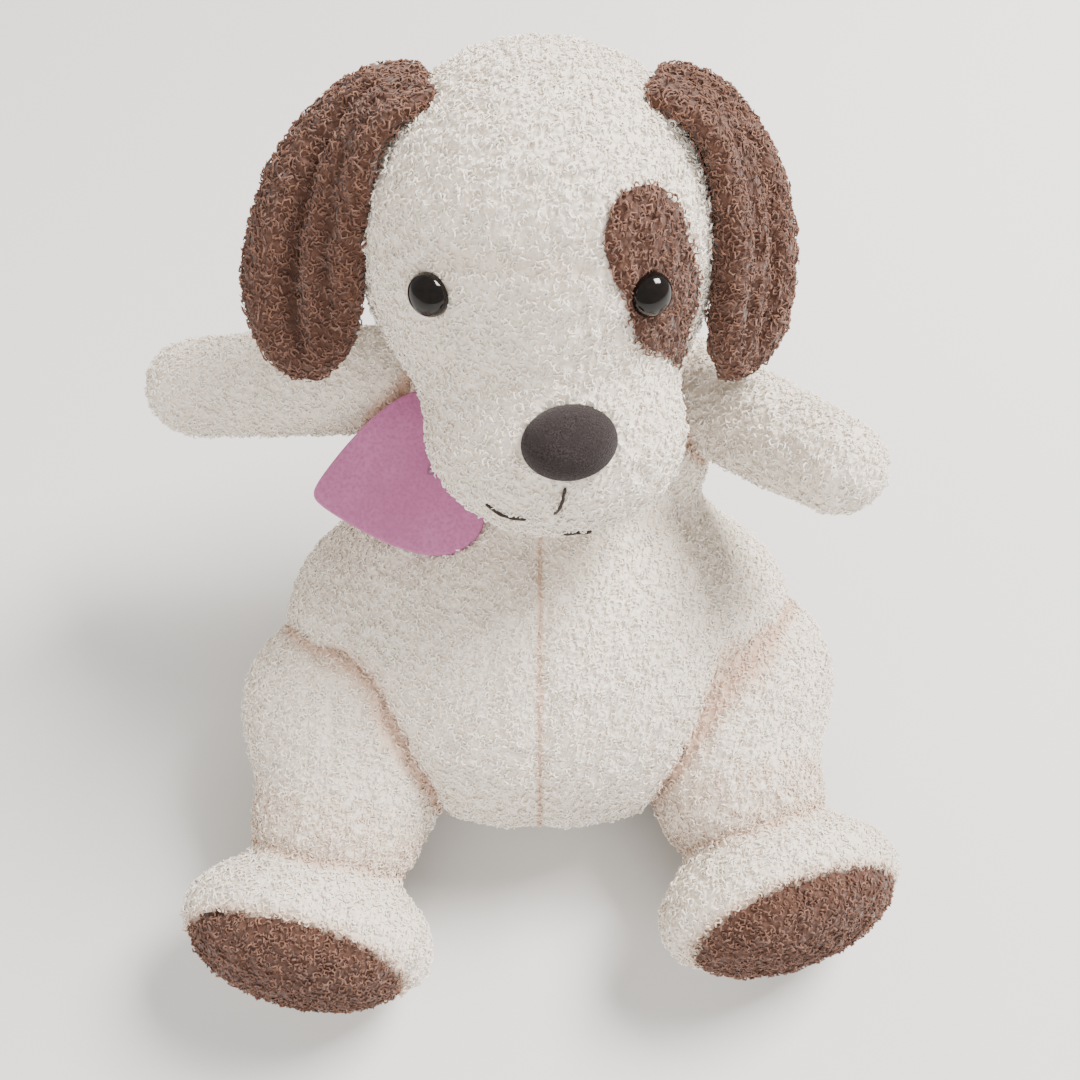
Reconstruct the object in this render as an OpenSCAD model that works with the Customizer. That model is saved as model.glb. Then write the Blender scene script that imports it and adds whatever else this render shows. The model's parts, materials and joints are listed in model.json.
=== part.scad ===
// Plush puppy sitting with its legs forward and its arms out.
// Millimetres. The origin is the middle of the flat seat, +Z is up and the
// puppy looks along -Y, so its own left side is at +X.

/* [Torso] */
// Width across the hips
hips_width = 118; // [90:1:150]
// Depth of the hips, belly to back
hips_depth = 88; // [68:1:112]
// Height of the hips' widest point above the seat
hips_rise = 30; // [26:1:38]
// Height of the hips' roundness above and below their widest point
hips_round = 36; // [28:1:46]
// Width across the chest
chest_width = 80; // [64:1:100]
// Depth of the chest
chest_depth = 48; // [38:1:60]
// Height of the top of the chest above the seat
chest_top = 92; // [76:1:112]
// How far the chest lies behind the hips as the body leans back
chest_back = 33; // [24:1:42]

/* [Head] */
// Diameter of the skull
head_d = 69.5; // [56:0.5:86]
// Width of the muzzle
muzzle_width = 50; // [40:1:62]
// Height of the muzzle
muzzle_height = 36; // [29:1:44]
// How far the muzzle reaches in front of the middle of the skull
muzzle_reach = 54; // [46:1:64]
// How far the muzzle's middle lies below the middle of the skull
muzzle_drop = 19; // [15:1:23]
// Sideways lean of the muzzle towards the puppy's left
muzzle_lean = 3; // [0:0.5:5]
// Diameter of an eye
eye_d = 8.6; // [6:0.2:11]
// Width of the nose
nose_width = 19; // [15:0.5:23]
// Height of the nose
nose_height = 14.5; // [11:0.5:18]

/* [Ears] */
// Length of an ear along its middle
ear_length = 78; // [62:1:94]
// Width of an ear
ear_width = 28; // [22:1:34]
// Thickness of an ear, both layers together
ear_thick = 9; // [8:0.5:12]

/* [Arms] */
// Length of an arm from shoulder to the middle of its round end
arm_length = 46; // [37:1:56]
// Diameter of an arm at the shoulder
arm_root_d = 24; // [20:0.5:30]
// Diameter of an arm's round end
arm_tip_d = 23; // [18:0.5:28]

/* [Legs] */
// Length of a leg from hip to ankle
leg_length = 24; // [20:1:30]
// Diameter of a thigh at the hip
thigh_d = 52; // [42:1:60]
// Diameter of a leg at the ankle
ankle_d = 41; // [33:1:48]
// Width of a foot
foot_width = 55; // [44:1:66]
// Height of a foot
foot_height = 42; // [34:1:50]
// Thickness of a foot, heel to sole
foot_thick = 30; // [24:1:36]

/* [Tail] */
// Length of the tail
tail_length = 24; // [18:1:32]
// Diameter of the tail at its root
tail_d = 14; // [11:0.5:17]

/* [Collar tag] */
// Width of the heart tag
tag_width = 36; // [29:1:43]
// Thickness of the heart tag
tag_thick = 3; // [2:0.5:4]

/* [Fabric and fits] */
// Thickness of the pile fabric
pile = 1.6; // [1.2:0.1:2.2]
// Gap between a cover and what fills it
fill_gap = 0.15; // [0.1:0.05:0.3]
// Gap between two neighbouring fabric panels
seam_gap = 0.2; // [0.1:0.05:0.4]
// Gap between pieces that move against each other
joint_gap = 0.6; // [0.4:0.1:0.8]
// Width of the flat seat
seat_width = 62; // [50:1:66]
// Depth of the flat seat
seat_depth = 42; // [34:1:44]

/* [Hidden] */

cream = "#e9ddca";
brown = "#8a5a44";
black = "#141414";
nose_grey = "#4d4443";
pink = "#bd7aa0";
filling = "#f4f4f2";
thread = "#c9a58b";
steel = "silver";
big = 400;

// ---- Sides: the puppy's left is +X and its right is -X ----
LEFT = 1;
RIGHT = -1;

// ---- Torso ----
hips_y = -1;
waist_at = [0, hips_y + 9, hips_rise + 15];
waist_r = [hips_width / 2 - 5, hips_depth / 2 - 6, 28];
hips_at = [0, hips_y, hips_rise];
hips_r = [hips_width / 2, hips_depth / 2, hips_round];
chest_r = [chest_width / 2, chest_depth / 2, 24];
chest_at = [0, hips_y + chest_back, chest_top - chest_r.z];
collar_r = [chest_r.x - 14, chest_r.y - 5, 12];
collar_at = chest_at + [0, 8, 8];
torso_stations = [[hips_at, hips_r], [waist_at, waist_r], [chest_at, chest_r],
    [collar_at, collar_r]];
side_seam_lean = 22;
side_seam_y = -3.5;
bag_gap = 0.5;
bag_rise = 13.5;
bag_at = [0, hips_y + 13, pile + 0.5 + bag_rise];

// ---- Neck and head ----
neck_at = [0, chest_at.y + 12, chest_top - 4];
neck_r = 14;
head_r = head_d / 2;
head_sink = 5.75;
head_at = neck_at + [0, 1, head_r - head_sink];
muzzle_r = [muzzle_width / 2, 20, muzzle_height / 2];
muzzle_at = [muzzle_lean, muzzle_r.y - muzzle_reach, -muzzle_drop];
cheek_r = head_r - 9;
cheek_at = [head_r - cheek_r - 2.5, -7.5, -8];
brow_r = head_r - 6;
brow_at = [0, -5, 4.5];
turn_poses = [-10, 0, 12];
nod_poses = [0, 18];

// ---- Face ----
eye_azimuth = 34.8;
eye_elevation = 19.5;
eye_shank_d = 3;
eye_shank = 9;
washer_d = 10;
washer_thick = 1.2;
washer_drop = 2.6;
nose_azimuth = 10;
nose_elevation = 47;
nose_deep = 5;
patch_lift = 0.9;
gusset_half = 20;
thread_d = 1.1;

// ---- Ears: the middle line of the puppy's right ear, from its root ----
ear_root_angle = 22.6;
ear_route = [[0, 0, 0], [-8.8, -2.5, 0], [-16.2, -6, -5], [-21.6, -11, -13],
    [-24.9, -16.5, -21.2], [-26.4, -21.5, -28.8], [-26.4, -25.5, -35], [-25.8, -29, -40],
    [-24.6, -31, -44]];
ear_across = [[0, 0.92, -0.38], [-0.15, 0.95, -0.25], [-0.4, 0.88, -0.15],
    [-0.65, 0.75, 0], [-0.82, 0.55, 0], [-0.93, 0.35, 0], [-1, 0.2, 0],
    [-1, 0.15, 0], [-1, 0.1, 0]];
ear_breadth = [0.88, 0.95, 1, 1, 0.98, 0.92, 0.8, 0.56, 0.2];
ear_depth = [0.56, 0.68, 0.84, 1, 1, 1, 0.95, 0.8, 0.4];
ear_route_length = 78;
ear_root_r = ear_thick / 2 * ear_depth[0];
ear_seat = [gusset_half, 10.5];
ear_gap = 0.2;
ear_hang = [4, 0.9];
ear_spread = [0.74, 1];
// How far each ear turns its broad face to the front as it hangs
ear_twist = [0.55, 1];

// ---- Arms ----
arm_root_r = arm_root_d / 2;
arm_tip_r = arm_tip_d / 2;
shoulder_x = chest_r.x - 7;
shoulder_z = chest_at.z + 7;
shoulders = [[shoulder_x, chest_at.y + 8, shoulder_z],
    [-shoulder_x, chest_at.y + 11, shoulder_z]];
arm_headings = [[-51, 21], [180, -3.7]];
arm_swing = [[-40, 0, 3], [-30, 0, 15]];

// ---- Legs and feet ----
thigh_r = thigh_d / 2;
ankle_r = ankle_d / 2;
floor_gap = 0.6;
hip_joint_x = hips_r.x - thigh_r + 7;
hip_joint_y = hips_y - hips_r.y + thigh_r + 3;
leg_stagger = 3.5;
leg_turn = [13, -13];
foot_turn = [18, -12];
ankle_z = ankle_r + 3.5;
leg_pitch = asin((ankle_z - thigh_r - floor_gap) / leg_length);
foot_step = foot_thick / 2 + ankle_r / 2 - 0.7;
leg_swing = [-18, 0, 20];
sole_thick = 2.2;

// ---- Tail ----
tail_r = tail_d / 2;
tail_tip_r = tail_r - 1.5;
tail_at = [0, hips_y + hips_r.y - 4, 22];
tail_rise = 38;
tail_swing = [-30, 0, 30];

// ---- Collar tag ----
tag_lobe_r = tag_width / 4 + 0.3;
tag_length = tag_width * 1.03;
tag_hole_r = 1.4;
ring_r = 4.2;
wire_r = 0.6;
loop_r = 1.4;
loop_thread_r = 0.45;
tag_hole_x = tag_lobe_r + 1;
tag_hinge = [-15.4, waist_at.y + 9.5, waist_at.z + waist_r.z + 4.2];
tag_heading = 186.2;
tag_slope = -10.4;
tag_roll = -27;
tag_lift = 12;

// ---------------------------------------------------------------- helpers
function side_index(side) = side == LEFT ? 0 : 1;
function mirror_x(p, side) = [p.x * side, p.y, p.z];
function unit(v) = v / norm(v);
function on_sphere(azimuth, elevation) =
    [sin(azimuth) * cos(elevation), -cos(azimuth) * cos(elevation), sin(elevation)];

// A point of an ellipsoid in a given direction from its middle
function on_ellipsoid(at, r, way) =
    at + way / norm([way.x / r.x, way.y / r.y, way.z / r.z]);

module ellipsoid(at, r, fn = 28) translate(at) scale(r) sphere(1, $fn = fn);

// Turns +Z to a heading in plan and a rise above the horizontal
module along(heading, rise) rotate([0, 90 - rise, heading]) children();

// Closed skin over rings of points, each ring running the same way round
module skin(rings) {
    n = len(rings[0]);
    m = len(rings);
    polyhedron(
        [for (ring = rings) each ring],
        concat(
            [for (i = [0:m - 2], j = [0:n - 1])
                let (a = i * n + j, b = i * n + (j + 1) % n)
                each [[a, a + n, b], [b, a + n, b + n]]],
            [[for (j = [0:n - 1]) j]],
            [[for (j = [n - 1:-1:0]) (m - 1) * n + j]]));
}

// Profile of a limb: two round ends joined by straight sides, inset by a wall
module limb_profile(root_r, tip_r, length, inset) {
    lean = asin((root_r - tip_r) / length);
    steps = 9;
    polygon(concat(
        [for (i = [0:steps]) let (a = -90 + (90 + lean) * i / steps)
            [(root_r - inset) * cos(a), (root_r - inset) * sin(a)]],
        [for (i = [0:steps]) let (a = lean + (90 - lean) * i / steps)
            [(tip_r - inset) * cos(a), length + (tip_r - inset) * sin(a)]]));
}

module limb(root_r, tip_r, length, inset = 0)
    rotate_extrude($fn = 48) limb_profile(root_r, tip_r, length, inset);

// ---------------------------------------------------------------- torso
module torso_form(inset, fn) {
    for (i = [0:len(torso_stations) - 2]) hull() {
        ellipsoid(torso_stations[i][0], torso_stations[i][1] - inset * [1, 1, 1], fn);
        ellipsoid(torso_stations[i + 1][0], torso_stations[i + 1][1] - inset * [1, 1, 1], fn);
    }
}

// Places its children as the head at a turn and a nod, chin up positive
module head_pose(turn, nod) translate(neck_at) rotate([0, 0, turn]) rotate([-nod, 0, 0])
    translate(head_at - neck_at) children();

// Room for the head through every turn and nod
module head_room() {
    for (turn = turn_poses) head_pose(turn, nod_poses[1]) sphere(head_r + joint_gap, $fn = 32);
    hull() for (turn = turn_poses) head_pose(turn, nod_poses[0]) {
        sphere(head_r + joint_gap, $fn = 32);
        for (side = [LEFT, RIGHT]) translate(mirror_x(cheek_at, side))
            sphere(cheek_r + joint_gap, $fn = 24);
        ellipsoid(muzzle_at, muzzle_r + joint_gap * [1, 1, 1], 20);
    }
    translate(neck_at) sphere(neck_r + joint_gap, $fn = 32);
}

function hip_joint(side) = [side * hip_joint_x, hip_joint_y + side * leg_stagger,
    thigh_r + floor_gap];
// The bag keeps clear of both thighs, however large they are
bag_reach = norm(hip_joint(LEFT) - bag_at) - thigh_r - 2 * joint_gap;
bag_r = [bag_reach, bag_reach * 0.8, bag_rise];
function leg_heading(side) = -90 + leg_turn[side_index(side)];
function direction(heading, rise) =
    [cos(heading) * cos(rise), sin(heading) * cos(rise), sin(rise)];
function ankle(side) = hip_joint(side) + leg_length * direction(leg_heading(side), leg_pitch);

// Room for a limb through its swings: its round root, and its end each way it points
module swing_room(root_r, tip_r, length, ways) hull() {
    sphere(root_r + joint_gap, $fn = 32);
    for (way = ways) translate(length * way) sphere(tip_r + joint_gap, $fn = 24);
}

module leg_room(side) translate(hip_joint(side))
    swing_room(thigh_r, ankle_r, leg_length,
        [for (swing = leg_swing) direction(leg_heading(side), leg_pitch + swing)]);

module arm_room(side) let (i = side_index(side), heading = arm_headings[i])
    translate(shoulders[i]) swing_room(arm_root_r, arm_tip_r, arm_length,
        [for (swing = arm_swing[i]) direction(heading[0], heading[1] + swing)]);

module tail_room() translate(tail_at) swing_room(tail_r, tail_tip_r, tail_length,
    [for (swing = tail_swing) direction(90 + swing, tail_rise)]);

module limb_rooms() {
    head_room();
    tail_room();
    tag_room();
    for (side = [LEFT, RIGHT]) {
        arm_room(side);
        leg_room(side);
    }
}

module below_seat() translate([0, 0, -big / 2]) cube([big, big, big], center = true);

module seat_outline(grow) {
    r = seat_depth / 2 + grow;
    half = seat_width / 2 - seat_depth / 2;
    translate([-half, -r]) square([2 * half, 2 * r]);
    for (side = [-half, half]) translate([side, 0]) circle(r, $fn = 64);
}

module torso_shell() difference() {
    torso_form(0, 28);
    torso_form(pile, 20);
    limb_rooms();
    below_seat();
    translate([0, 0, -1]) linear_extrude(hips_rise) seat_outline(seam_gap);
}

// Everything behind the side seams, which lean back with the body
module behind_side_seams(grow) translate([0, hips_y + side_seam_y, 0]) rotate([-side_seam_lean, 0, 0])
    translate([-big / 2, -grow, -big / 2]) cube([big, big, big]);

module belly_panel(side) color(cream) intersection() {
    difference() {
        torso_shell();
        behind_side_seams(seam_gap);
    }
    translate([side > 0 ? thread_d / 2 : -big - thread_d / 2, -big / 2, -big / 2])
        cube([big, big, big]);
}

module back_panel() color(cream) intersection() {
    torso_shell();
    behind_side_seams(0);
}

module belly_seam() color(thread) difference() {
    intersection() {
        difference() {
            torso_form(0.1, 28);
            torso_form(pile, 20);
            limb_rooms();
            behind_side_seams(seam_gap);
        }
        translate([-thread_d / 2 + 0.1, -big / 2, 6]) cube([thread_d - 0.2, big, big]);
    }
}

module seat_panel() color(cream) linear_extrude(pile) seat_outline(0);

module bag_form(grow) ellipsoid(bag_at, bag_r + grow * [1, 1, 1], 32);

// The bag of pellets rests on the seat, so the filling is open below it
module bag_mouth() translate([bag_at.x, bag_at.y, 0]) scale([1, bag_r.y / bag_r.x, 1])
    cylinder(r = bag_r.x * 0.6, h = bag_at.z, $fn = 48);

module torso_stuffing() color(filling) difference() {
    torso_form(pile + fill_gap, 20);
    translate([0, 0, pile + fill_gap]) below_seat();
    bag_form(bag_gap);
    bag_mouth();
    limb_rooms();
}

module pellet_bag() color("#dcd8cf") bag_form(0);

module neck_stuffing() color(filling) translate(neck_at) sphere(neck_r, $fn = 48);

// ---------------------------------------------------------------- head
module head_form(inset, fn) translate(head_at) {
    skull_r = head_r - inset;
    hull() {
        sphere(skull_r, $fn = fn);
        ellipsoid(muzzle_at, muzzle_r - inset * [1, 1, 1], fn);
    }
    for (side = [LEFT, RIGHT]) hull() {
        translate(mirror_x(cheek_at, side)) sphere(cheek_r - inset, $fn = fn);
        ellipsoid(muzzle_at, muzzle_r - inset * [1, 1, 1], fn);
    }
    hull() {
        translate(brow_at) sphere(brow_r - inset, $fn = fn);
        ellipsoid(muzzle_at, muzzle_r - inset * [1, 1, 1], fn);
    }
}

function eye_way(side) = on_sphere(side * eye_azimuth, eye_elevation);
nose_way = on_sphere(nose_azimuth, nose_elevation);
nose_at = head_at + on_ellipsoid(muzzle_at, muzzle_r, nose_way);

// Places its children on the skull where an eye goes, with +Z outwards
module at_eye(side) translate(head_at) rotate([0, 0, side * eye_azimuth - 90])
    rotate([0, 90 - eye_elevation, 0]) translate([0, 0, head_r]) children();

module at_nose() translate(nose_at) rotate([0, 0, nose_azimuth - 90])
    rotate([0, 90 - nose_elevation, 0]) children();

function ear_seat_at(side) = head_at + [side * ear_seat.x, ear_seat.y,
    sqrt(head_r * head_r - ear_seat.x * ear_seat.x - ear_seat.y * ear_seat.y) - 1];

// Groove in the head along an ear's seam
module ear_groove(side) hull() for (part = [0, 0.4, 0.8])
    translate(ear_seat_at(side) + part * ear_route[1].x * [-side, 0, 0])
        rotate([90 - ear_root_angle, 0, 0])
            cylinder(h = ear_width * 1.1, r = ear_root_r + joint_gap + 0.4 + 1.5 * part, center = true, $fn = 32);

module head_openings() {
    translate(neck_at) sphere(neck_r + joint_gap, $fn = 32);
    for (side = [LEFT, RIGHT]) {
        ear_groove(side);
        at_eye(side) {
            cylinder(h = 2 * eye_shank, d = eye_shank_d + 0.2, center = true, $fn = 24);
            translate([0, 0, 0.3]) sphere(d = eye_d + 0.4, $fn = 24);
        }
    }
    at_nose() {
        cylinder(h = 2 * eye_shank, d = eye_shank_d + 0.2, center = true, $fn = 24);
        nose_dome(0.2, 24);
    }
}

module head_shell() difference() {
    head_form(0, 28);
    head_form(pile, 20);
    head_openings();
}

module gusset_slab(grow) translate(head_at) cube([2 * (gusset_half + grow), big, big], center = true);

module head_gusset() color(cream) intersection() {
    head_shell();
    gusset_slab(0);
}

module head_side(side) color(cream) intersection() {
    difference() {
        head_shell();
        gusset_slab(seam_gap);
    }
    translate([side > 0 ? 0 : -big, -big / 2, -big / 2]) cube([big, big, big]);
}

module washer_rooms() {
    for (side = [LEFT, RIGHT]) at_eye(side)
        translate([0, 0, -eye_shank - 0.1]) cylinder(h = eye_shank + 1, d = washer_d + 0.4, $fn = 32);
    at_nose() translate([0, 0, -eye_shank - 0.1])
        cylinder(h = eye_shank + 1, d = washer_d + 0.4, $fn = 32);
}

module head_stuffing() color(filling) difference() {
    head_form(pile + fill_gap, 20);
    head_openings();
    washer_rooms();
}

module eye(side) color(black) at_eye(side) {
    difference() {
        translate([0, 0, 0.3]) sphere(d = eye_d, $fn = 48);
        translate([0, 0, 0.2 - eye_d / 2]) cube([eye_d * 2, eye_d * 2, eye_d], center = true);
    }
    translate([0, 0, 0.5 - eye_shank]) cylinder(h = eye_shank, d = eye_shank_d, $fn = 32);
}

module washer_ring() translate([0, 0, -pile - washer_drop - washer_thick]) difference() {
    cylinder(h = washer_thick, d = washer_d, $fn = 40);
    translate([0, 0, -1]) cylinder(h = washer_thick + 2, d = eye_shank_d + 0.1, $fn = 32);
}

module eye_washer(side) color("white") at_eye(side) washer_ring();

module nose_dome(grow, fn)
    scale([nose_height / 2 + grow, nose_width / 2 + grow, nose_deep + grow]) sphere(1, $fn = fn);

module nose() color(nose_grey) at_nose() {
    difference() {
        nose_dome(0, 48);
        translate([0, 0, 0.4 - nose_width / 2])
            cube([nose_width * 2, nose_width * 2, nose_width], center = true);
    }
    translate([0, 0, 1 - eye_shank]) cylinder(h = eye_shank, d = eye_shank_d, $fn = 32);
}

module nose_washer() color("white") at_nose() washer_ring();

// Brown patch sewn on round the left eye
module eye_patch() color(brown) intersection() {
    difference() {
        head_form(-patch_lift, 28);
        head_form(-0.1, 28);
        at_eye(LEFT) translate([0, 0, -5]) cylinder(h = 12, d = eye_d + 0.6, $fn = 32);
    }
    at_eye(LEFT) linear_extrude(30, center = true) hull() {
        translate([-9, 2]) circle(8.5, $fn = 32);
        translate([5, 4]) circle(8, $fn = 32);
        translate([16, 6]) circle(3, $fn = 32);
    }
}

// Three strands: down from the nose and out to both corners of the mouth
mouth_strands = [
    [[5, 24], [3, 17], [0, 10], [-3, 3]],
    [[-3, 3], [4, -4], [14, -8], [25, -8]],
    [[-3, 3], [-12, -3], [-22, -3], [-34, 2]]];

module strand(ways) {
    spots = [for (w = ways) head_at + on_ellipsoid(muzzle_at, muzzle_r + 0.75 * [1, 1, 1],
        on_sphere(w[0], w[1]))];
    for (i = [0:len(spots) - 2]) {
        step = spots[i + 1] - spots[i];
        translate(spots[i])
            rotate([0, acos(step.z / norm(step)), atan2(step.y, step.x)])
                translate([0, 0, 0.3]) cylinder(h = norm(step) - 0.6, d = thread_d, $fn = 16);
    }
}

module mouth_stitch() color("#3b2a22") for (ways = mouth_strands) strand(ways);

// ---------------------------------------------------------------- ears
function tangent(i) = unit(ear_route[min(i + 1, len(ear_route) - 1)] - ear_route[max(i - 1, 0)]);
function across(i, twist) = let (t = tangent(i),
    w = ear_across[0] + twist * (ear_across[i] - ear_across[0])) unit(w - (w * t) * t);

// One half-round ring of an ear: the outer layer has face 1, the lining -1
function ear_ring(i, face, side, steps = 10) =
    let (spread = ear_spread[side_index(side)], w = across(i, ear_twist[side_index(side)]), up = cross(w, tangent(i)),
        middle = [ear_route[i].x * (1 - (1 - spread) * i / (len(ear_route) - 1)), ear_route[i].y, ear_route[i].z]
            * ear_length / ear_route_length,
        half = ear_width / 2 * ear_breadth[i], deep = ear_thick / 2 * ear_depth[i])
    [for (k = [0:steps]) let (a = 180 * k / steps)
        middle + w * half * cos(a) + up * face * (ear_gap / 2 + deep * sin(a))];

module ear_layer(side, face) color(brown)
    translate(ear_seat_at(side)) mirror([side > 0 ? 1 : 0, 0, 0])
        rotate(a = ear_hang[side_index(side)], v = [0, 0.92, -0.38])
            skin([for (i = [0:len(ear_route) - 1]) ear_ring(i, face, side)]);

// ---------------------------------------------------------------- arms
module at_shoulder(side) translate(shoulders[side_index(side)])
    along(arm_headings[side_index(side)][0], arm_headings[side_index(side)][1]) children();

module arm_cover(side) color(cream) at_shoulder(side) difference() {
    limb(arm_root_r, arm_tip_r, arm_length);
    limb(arm_root_r, arm_tip_r, arm_length, pile);
}

module arm_stuffing(side) color(filling) at_shoulder(side)
    limb(arm_root_r, arm_tip_r, arm_length, pile + fill_gap);

// ---------------------------------------------------------------- legs
module at_hip(side) translate(hip_joint(side)) along(leg_heading(side), leg_pitch) children();

module leg_cover(side) color(cream) at_hip(side) difference() {
    limb(thigh_r, ankle_r, leg_length);
    limb(thigh_r, ankle_r, leg_length, pile);
}

module leg_stuffing(side) color(filling) at_hip(side)
    limb(thigh_r, ankle_r, leg_length, pile + fill_gap);

// ---------------------------------------------------------------- feet
function foot_at(side) = let (a = ankle(side), h = -90 + foot_turn[side_index(side)])
    [a.x + foot_step * cos(h), a.y + foot_step * sin(h), foot_height / 2 + floor_gap];

module at_foot(side) translate(foot_at(side)) rotate([0, 0, foot_turn[side_index(side)]]) children();

module foot_form(inset, fn) hull()
    ellipsoid([0, 0, 0], [foot_width, foot_thick, foot_height] / 2 - inset * [1, 1, 1], fn);

module ankle_room(side) translate(ankle(side)) sphere(ankle_r + joint_gap, $fn = 48);

// Everything in front of the seam where the sole is sewn in
module before_sole(grow) translate([0, -foot_thick * 0.2 + grow, -foot_height * 0.12])
    rotate([-16, 0, 0]) translate([-big / 2, -big, -big / 2]) cube([big, big, big]);

module foot_shell() difference() {
    foot_form(0, 28);
    foot_form(pile, 20);
}

module foot_cover(side) color(cream) difference() {
    at_foot(side) difference() {
        foot_shell();
        before_sole(seam_gap);
    }
    ankle_room(side);
}

module foot_sole(side) color(brown) at_foot(side) intersection() {
    foot_shell();
    before_sole(0);
}

module foot_stuffing(side) color(filling) difference() {
    at_foot(side) foot_form(pile + fill_gap, 20);
    ankle_room(side);
}

// ---------------------------------------------------------------- tail
module at_tail() translate(tail_at) along(90, tail_rise) children();

module tail_cover() color(brown) at_tail() difference() {
    limb(tail_r, tail_tip_r, tail_length);
    limb(tail_r, tail_tip_r, tail_length, pile);
}

module tail_stuffing() color(filling) at_tail()
    limb(tail_r, tail_tip_r, tail_length, pile + fill_gap);

// ---------------------------------------------------------------- collar tag
// Heart with its notch near the origin and its point at tag_length along +X
module heart_outline() {
    lobe_y = tag_width / 2 - tag_lobe_r;
    translate([2 * ring_r - tag_hole_x, 0]) for (half = [-1, 1]) hull() {
        translate([tag_lobe_r, half * lobe_y]) circle(tag_lobe_r, $fn = 40);
        translate([tag_length * 0.43, half * tag_width * 0.31]) circle(tag_width * 0.19, $fn = 32);
        translate([tag_length * 0.68, half * tag_width * 0.21]) circle(tag_width * 0.15, $fn = 32);
        translate([tag_length - 1, 0]) circle(1, $fn = 16);
        translate([tag_lobe_r + 2, 0]) circle(1, $fn = 16);
    }
}

// The hinge is where the ring hangs in its thread loop, the tag's point is along +X
module at_tag() translate(tag_hinge) rotate([0, 0, tag_heading]) rotate([0, -tag_slope, 0])
    rotate([tag_roll, 0, 0]) children();

module heart_tag() color(pink) at_tag() difference() {
    translate([0, 0, -tag_thick / 2]) linear_extrude(tag_thick) heart_outline();
    translate([2 * ring_r, 0, -tag_thick]) cylinder(h = 3 * tag_thick, r = tag_hole_r, $fn = 32);
}

module tag_ring() color(steel) at_tag() translate([ring_r, 0, 0]) rotate([90, 0, 0])
    rotate_extrude($fn = 48) translate([ring_r, 0]) circle(wire_r, $fn = 24);

module tag_loop() color(thread) at_tag() {
    rotate_extrude($fn = 32) translate([loop_r, 0]) circle(loop_thread_r, $fn = 16);
    translate([-loop_r, 0, -tag_thick]) cylinder(h = tag_thick, r = loop_thread_r, $fn = 16);
}

// Room in the chest where the stiff tag presses the pile flat
module tag_room() at_tag() {
    for (lift = [0, tag_lift]) rotate([0, -lift, 0])
        translate([0, 0, -tag_thick / 2 - joint_gap]) linear_extrude(6 * tag_thick)
            hull() offset(joint_gap) heart_outline();
    translate([ring_r, 0, 0]) sphere(ring_r + wire_r + joint_gap, $fn = 24);
}

// ---------------------------------------------------------------- pieces
belly_panel(LEFT);  // belly_panel_left
belly_panel(RIGHT);  // belly_panel_right
back_panel();
belly_seam();
seat_panel();
torso_stuffing();
pellet_bag();
neck_stuffing();
head_gusset();
head_side(LEFT);  // head_side_left
head_side(RIGHT);  // head_side_right
head_stuffing();
eye_patch();
eye(LEFT);  // eye_left
eye(RIGHT);  // eye_right
eye_washer(LEFT);  // eye_washer_left
eye_washer(RIGHT);  // eye_washer_right
nose();
nose_washer();
mouth_stitch();
ear_layer(LEFT, 1);  // ear_outer_left
ear_layer(LEFT, -1);  // ear_lining_left
ear_layer(RIGHT, 1);  // ear_outer_right
ear_layer(RIGHT, -1);  // ear_lining_right
arm_cover(LEFT);  // arm_cover_left
arm_stuffing(LEFT);  // arm_stuffing_left
arm_cover(RIGHT);  // arm_cover_right
arm_stuffing(RIGHT);  // arm_stuffing_right
leg_cover(LEFT);  // leg_cover_left
leg_stuffing(LEFT);  // leg_stuffing_left
leg_cover(RIGHT);  // leg_cover_right
leg_stuffing(RIGHT);  // leg_stuffing_right
foot_cover(LEFT);  // foot_cover_left
foot_sole(LEFT);  // foot_sole_left
foot_stuffing(LEFT);  // foot_stuffing_left
foot_cover(RIGHT);  // foot_cover_right
foot_sole(RIGHT);  // foot_sole_right
foot_stuffing(RIGHT);  // foot_stuffing_right
tail_cover();
tail_stuffing();
heart_tag();
tag_ring();
tag_loop();
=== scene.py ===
# %% [markdown]
# # A seated plush puppy
# The real toy is sewn from looped-pile cloth, turned right side out and stuffed with fibre. This lesson
# builds it the same way: each sewn piece is a closed skin worked out as a formula, puffed up a little by a
# cloth simulation, then covered with thousands of tiny yarn loops. Hard trims are turned, cut or bent last.

# %% Load the frame that every piece is placed in
import json
import math
import bpy
import numpy as np
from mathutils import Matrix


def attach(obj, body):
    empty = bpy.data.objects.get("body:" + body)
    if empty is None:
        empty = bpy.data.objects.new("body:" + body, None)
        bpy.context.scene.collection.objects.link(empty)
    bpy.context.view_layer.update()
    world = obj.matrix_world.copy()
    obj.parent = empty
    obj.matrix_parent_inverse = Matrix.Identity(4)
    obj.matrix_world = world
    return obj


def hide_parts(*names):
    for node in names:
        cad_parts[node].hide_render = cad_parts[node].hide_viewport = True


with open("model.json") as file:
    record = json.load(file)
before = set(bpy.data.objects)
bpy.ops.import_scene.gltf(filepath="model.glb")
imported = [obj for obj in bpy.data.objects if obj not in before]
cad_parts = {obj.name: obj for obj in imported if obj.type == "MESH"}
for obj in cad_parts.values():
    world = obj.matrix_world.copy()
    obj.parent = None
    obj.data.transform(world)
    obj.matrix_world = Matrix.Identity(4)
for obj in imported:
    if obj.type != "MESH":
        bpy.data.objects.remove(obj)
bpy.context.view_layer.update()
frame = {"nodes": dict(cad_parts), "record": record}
record = frame["record"]
pivot = {j["name"]: np.array(j["pos_m"]) for j in record["behaviour"]["joints"]}
mm = 0.001
scene = bpy.context.scene

# %% [markdown]
# ## Camera, floor and light
# The toy sits on a table and is looked down on from standing height, so the camera is high and close. A
# close lens makes the head look large, which is part of the charm. The floor is a plain pale sheet, and
# three big soft lamps do the work of a bright window and a light room.

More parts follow.
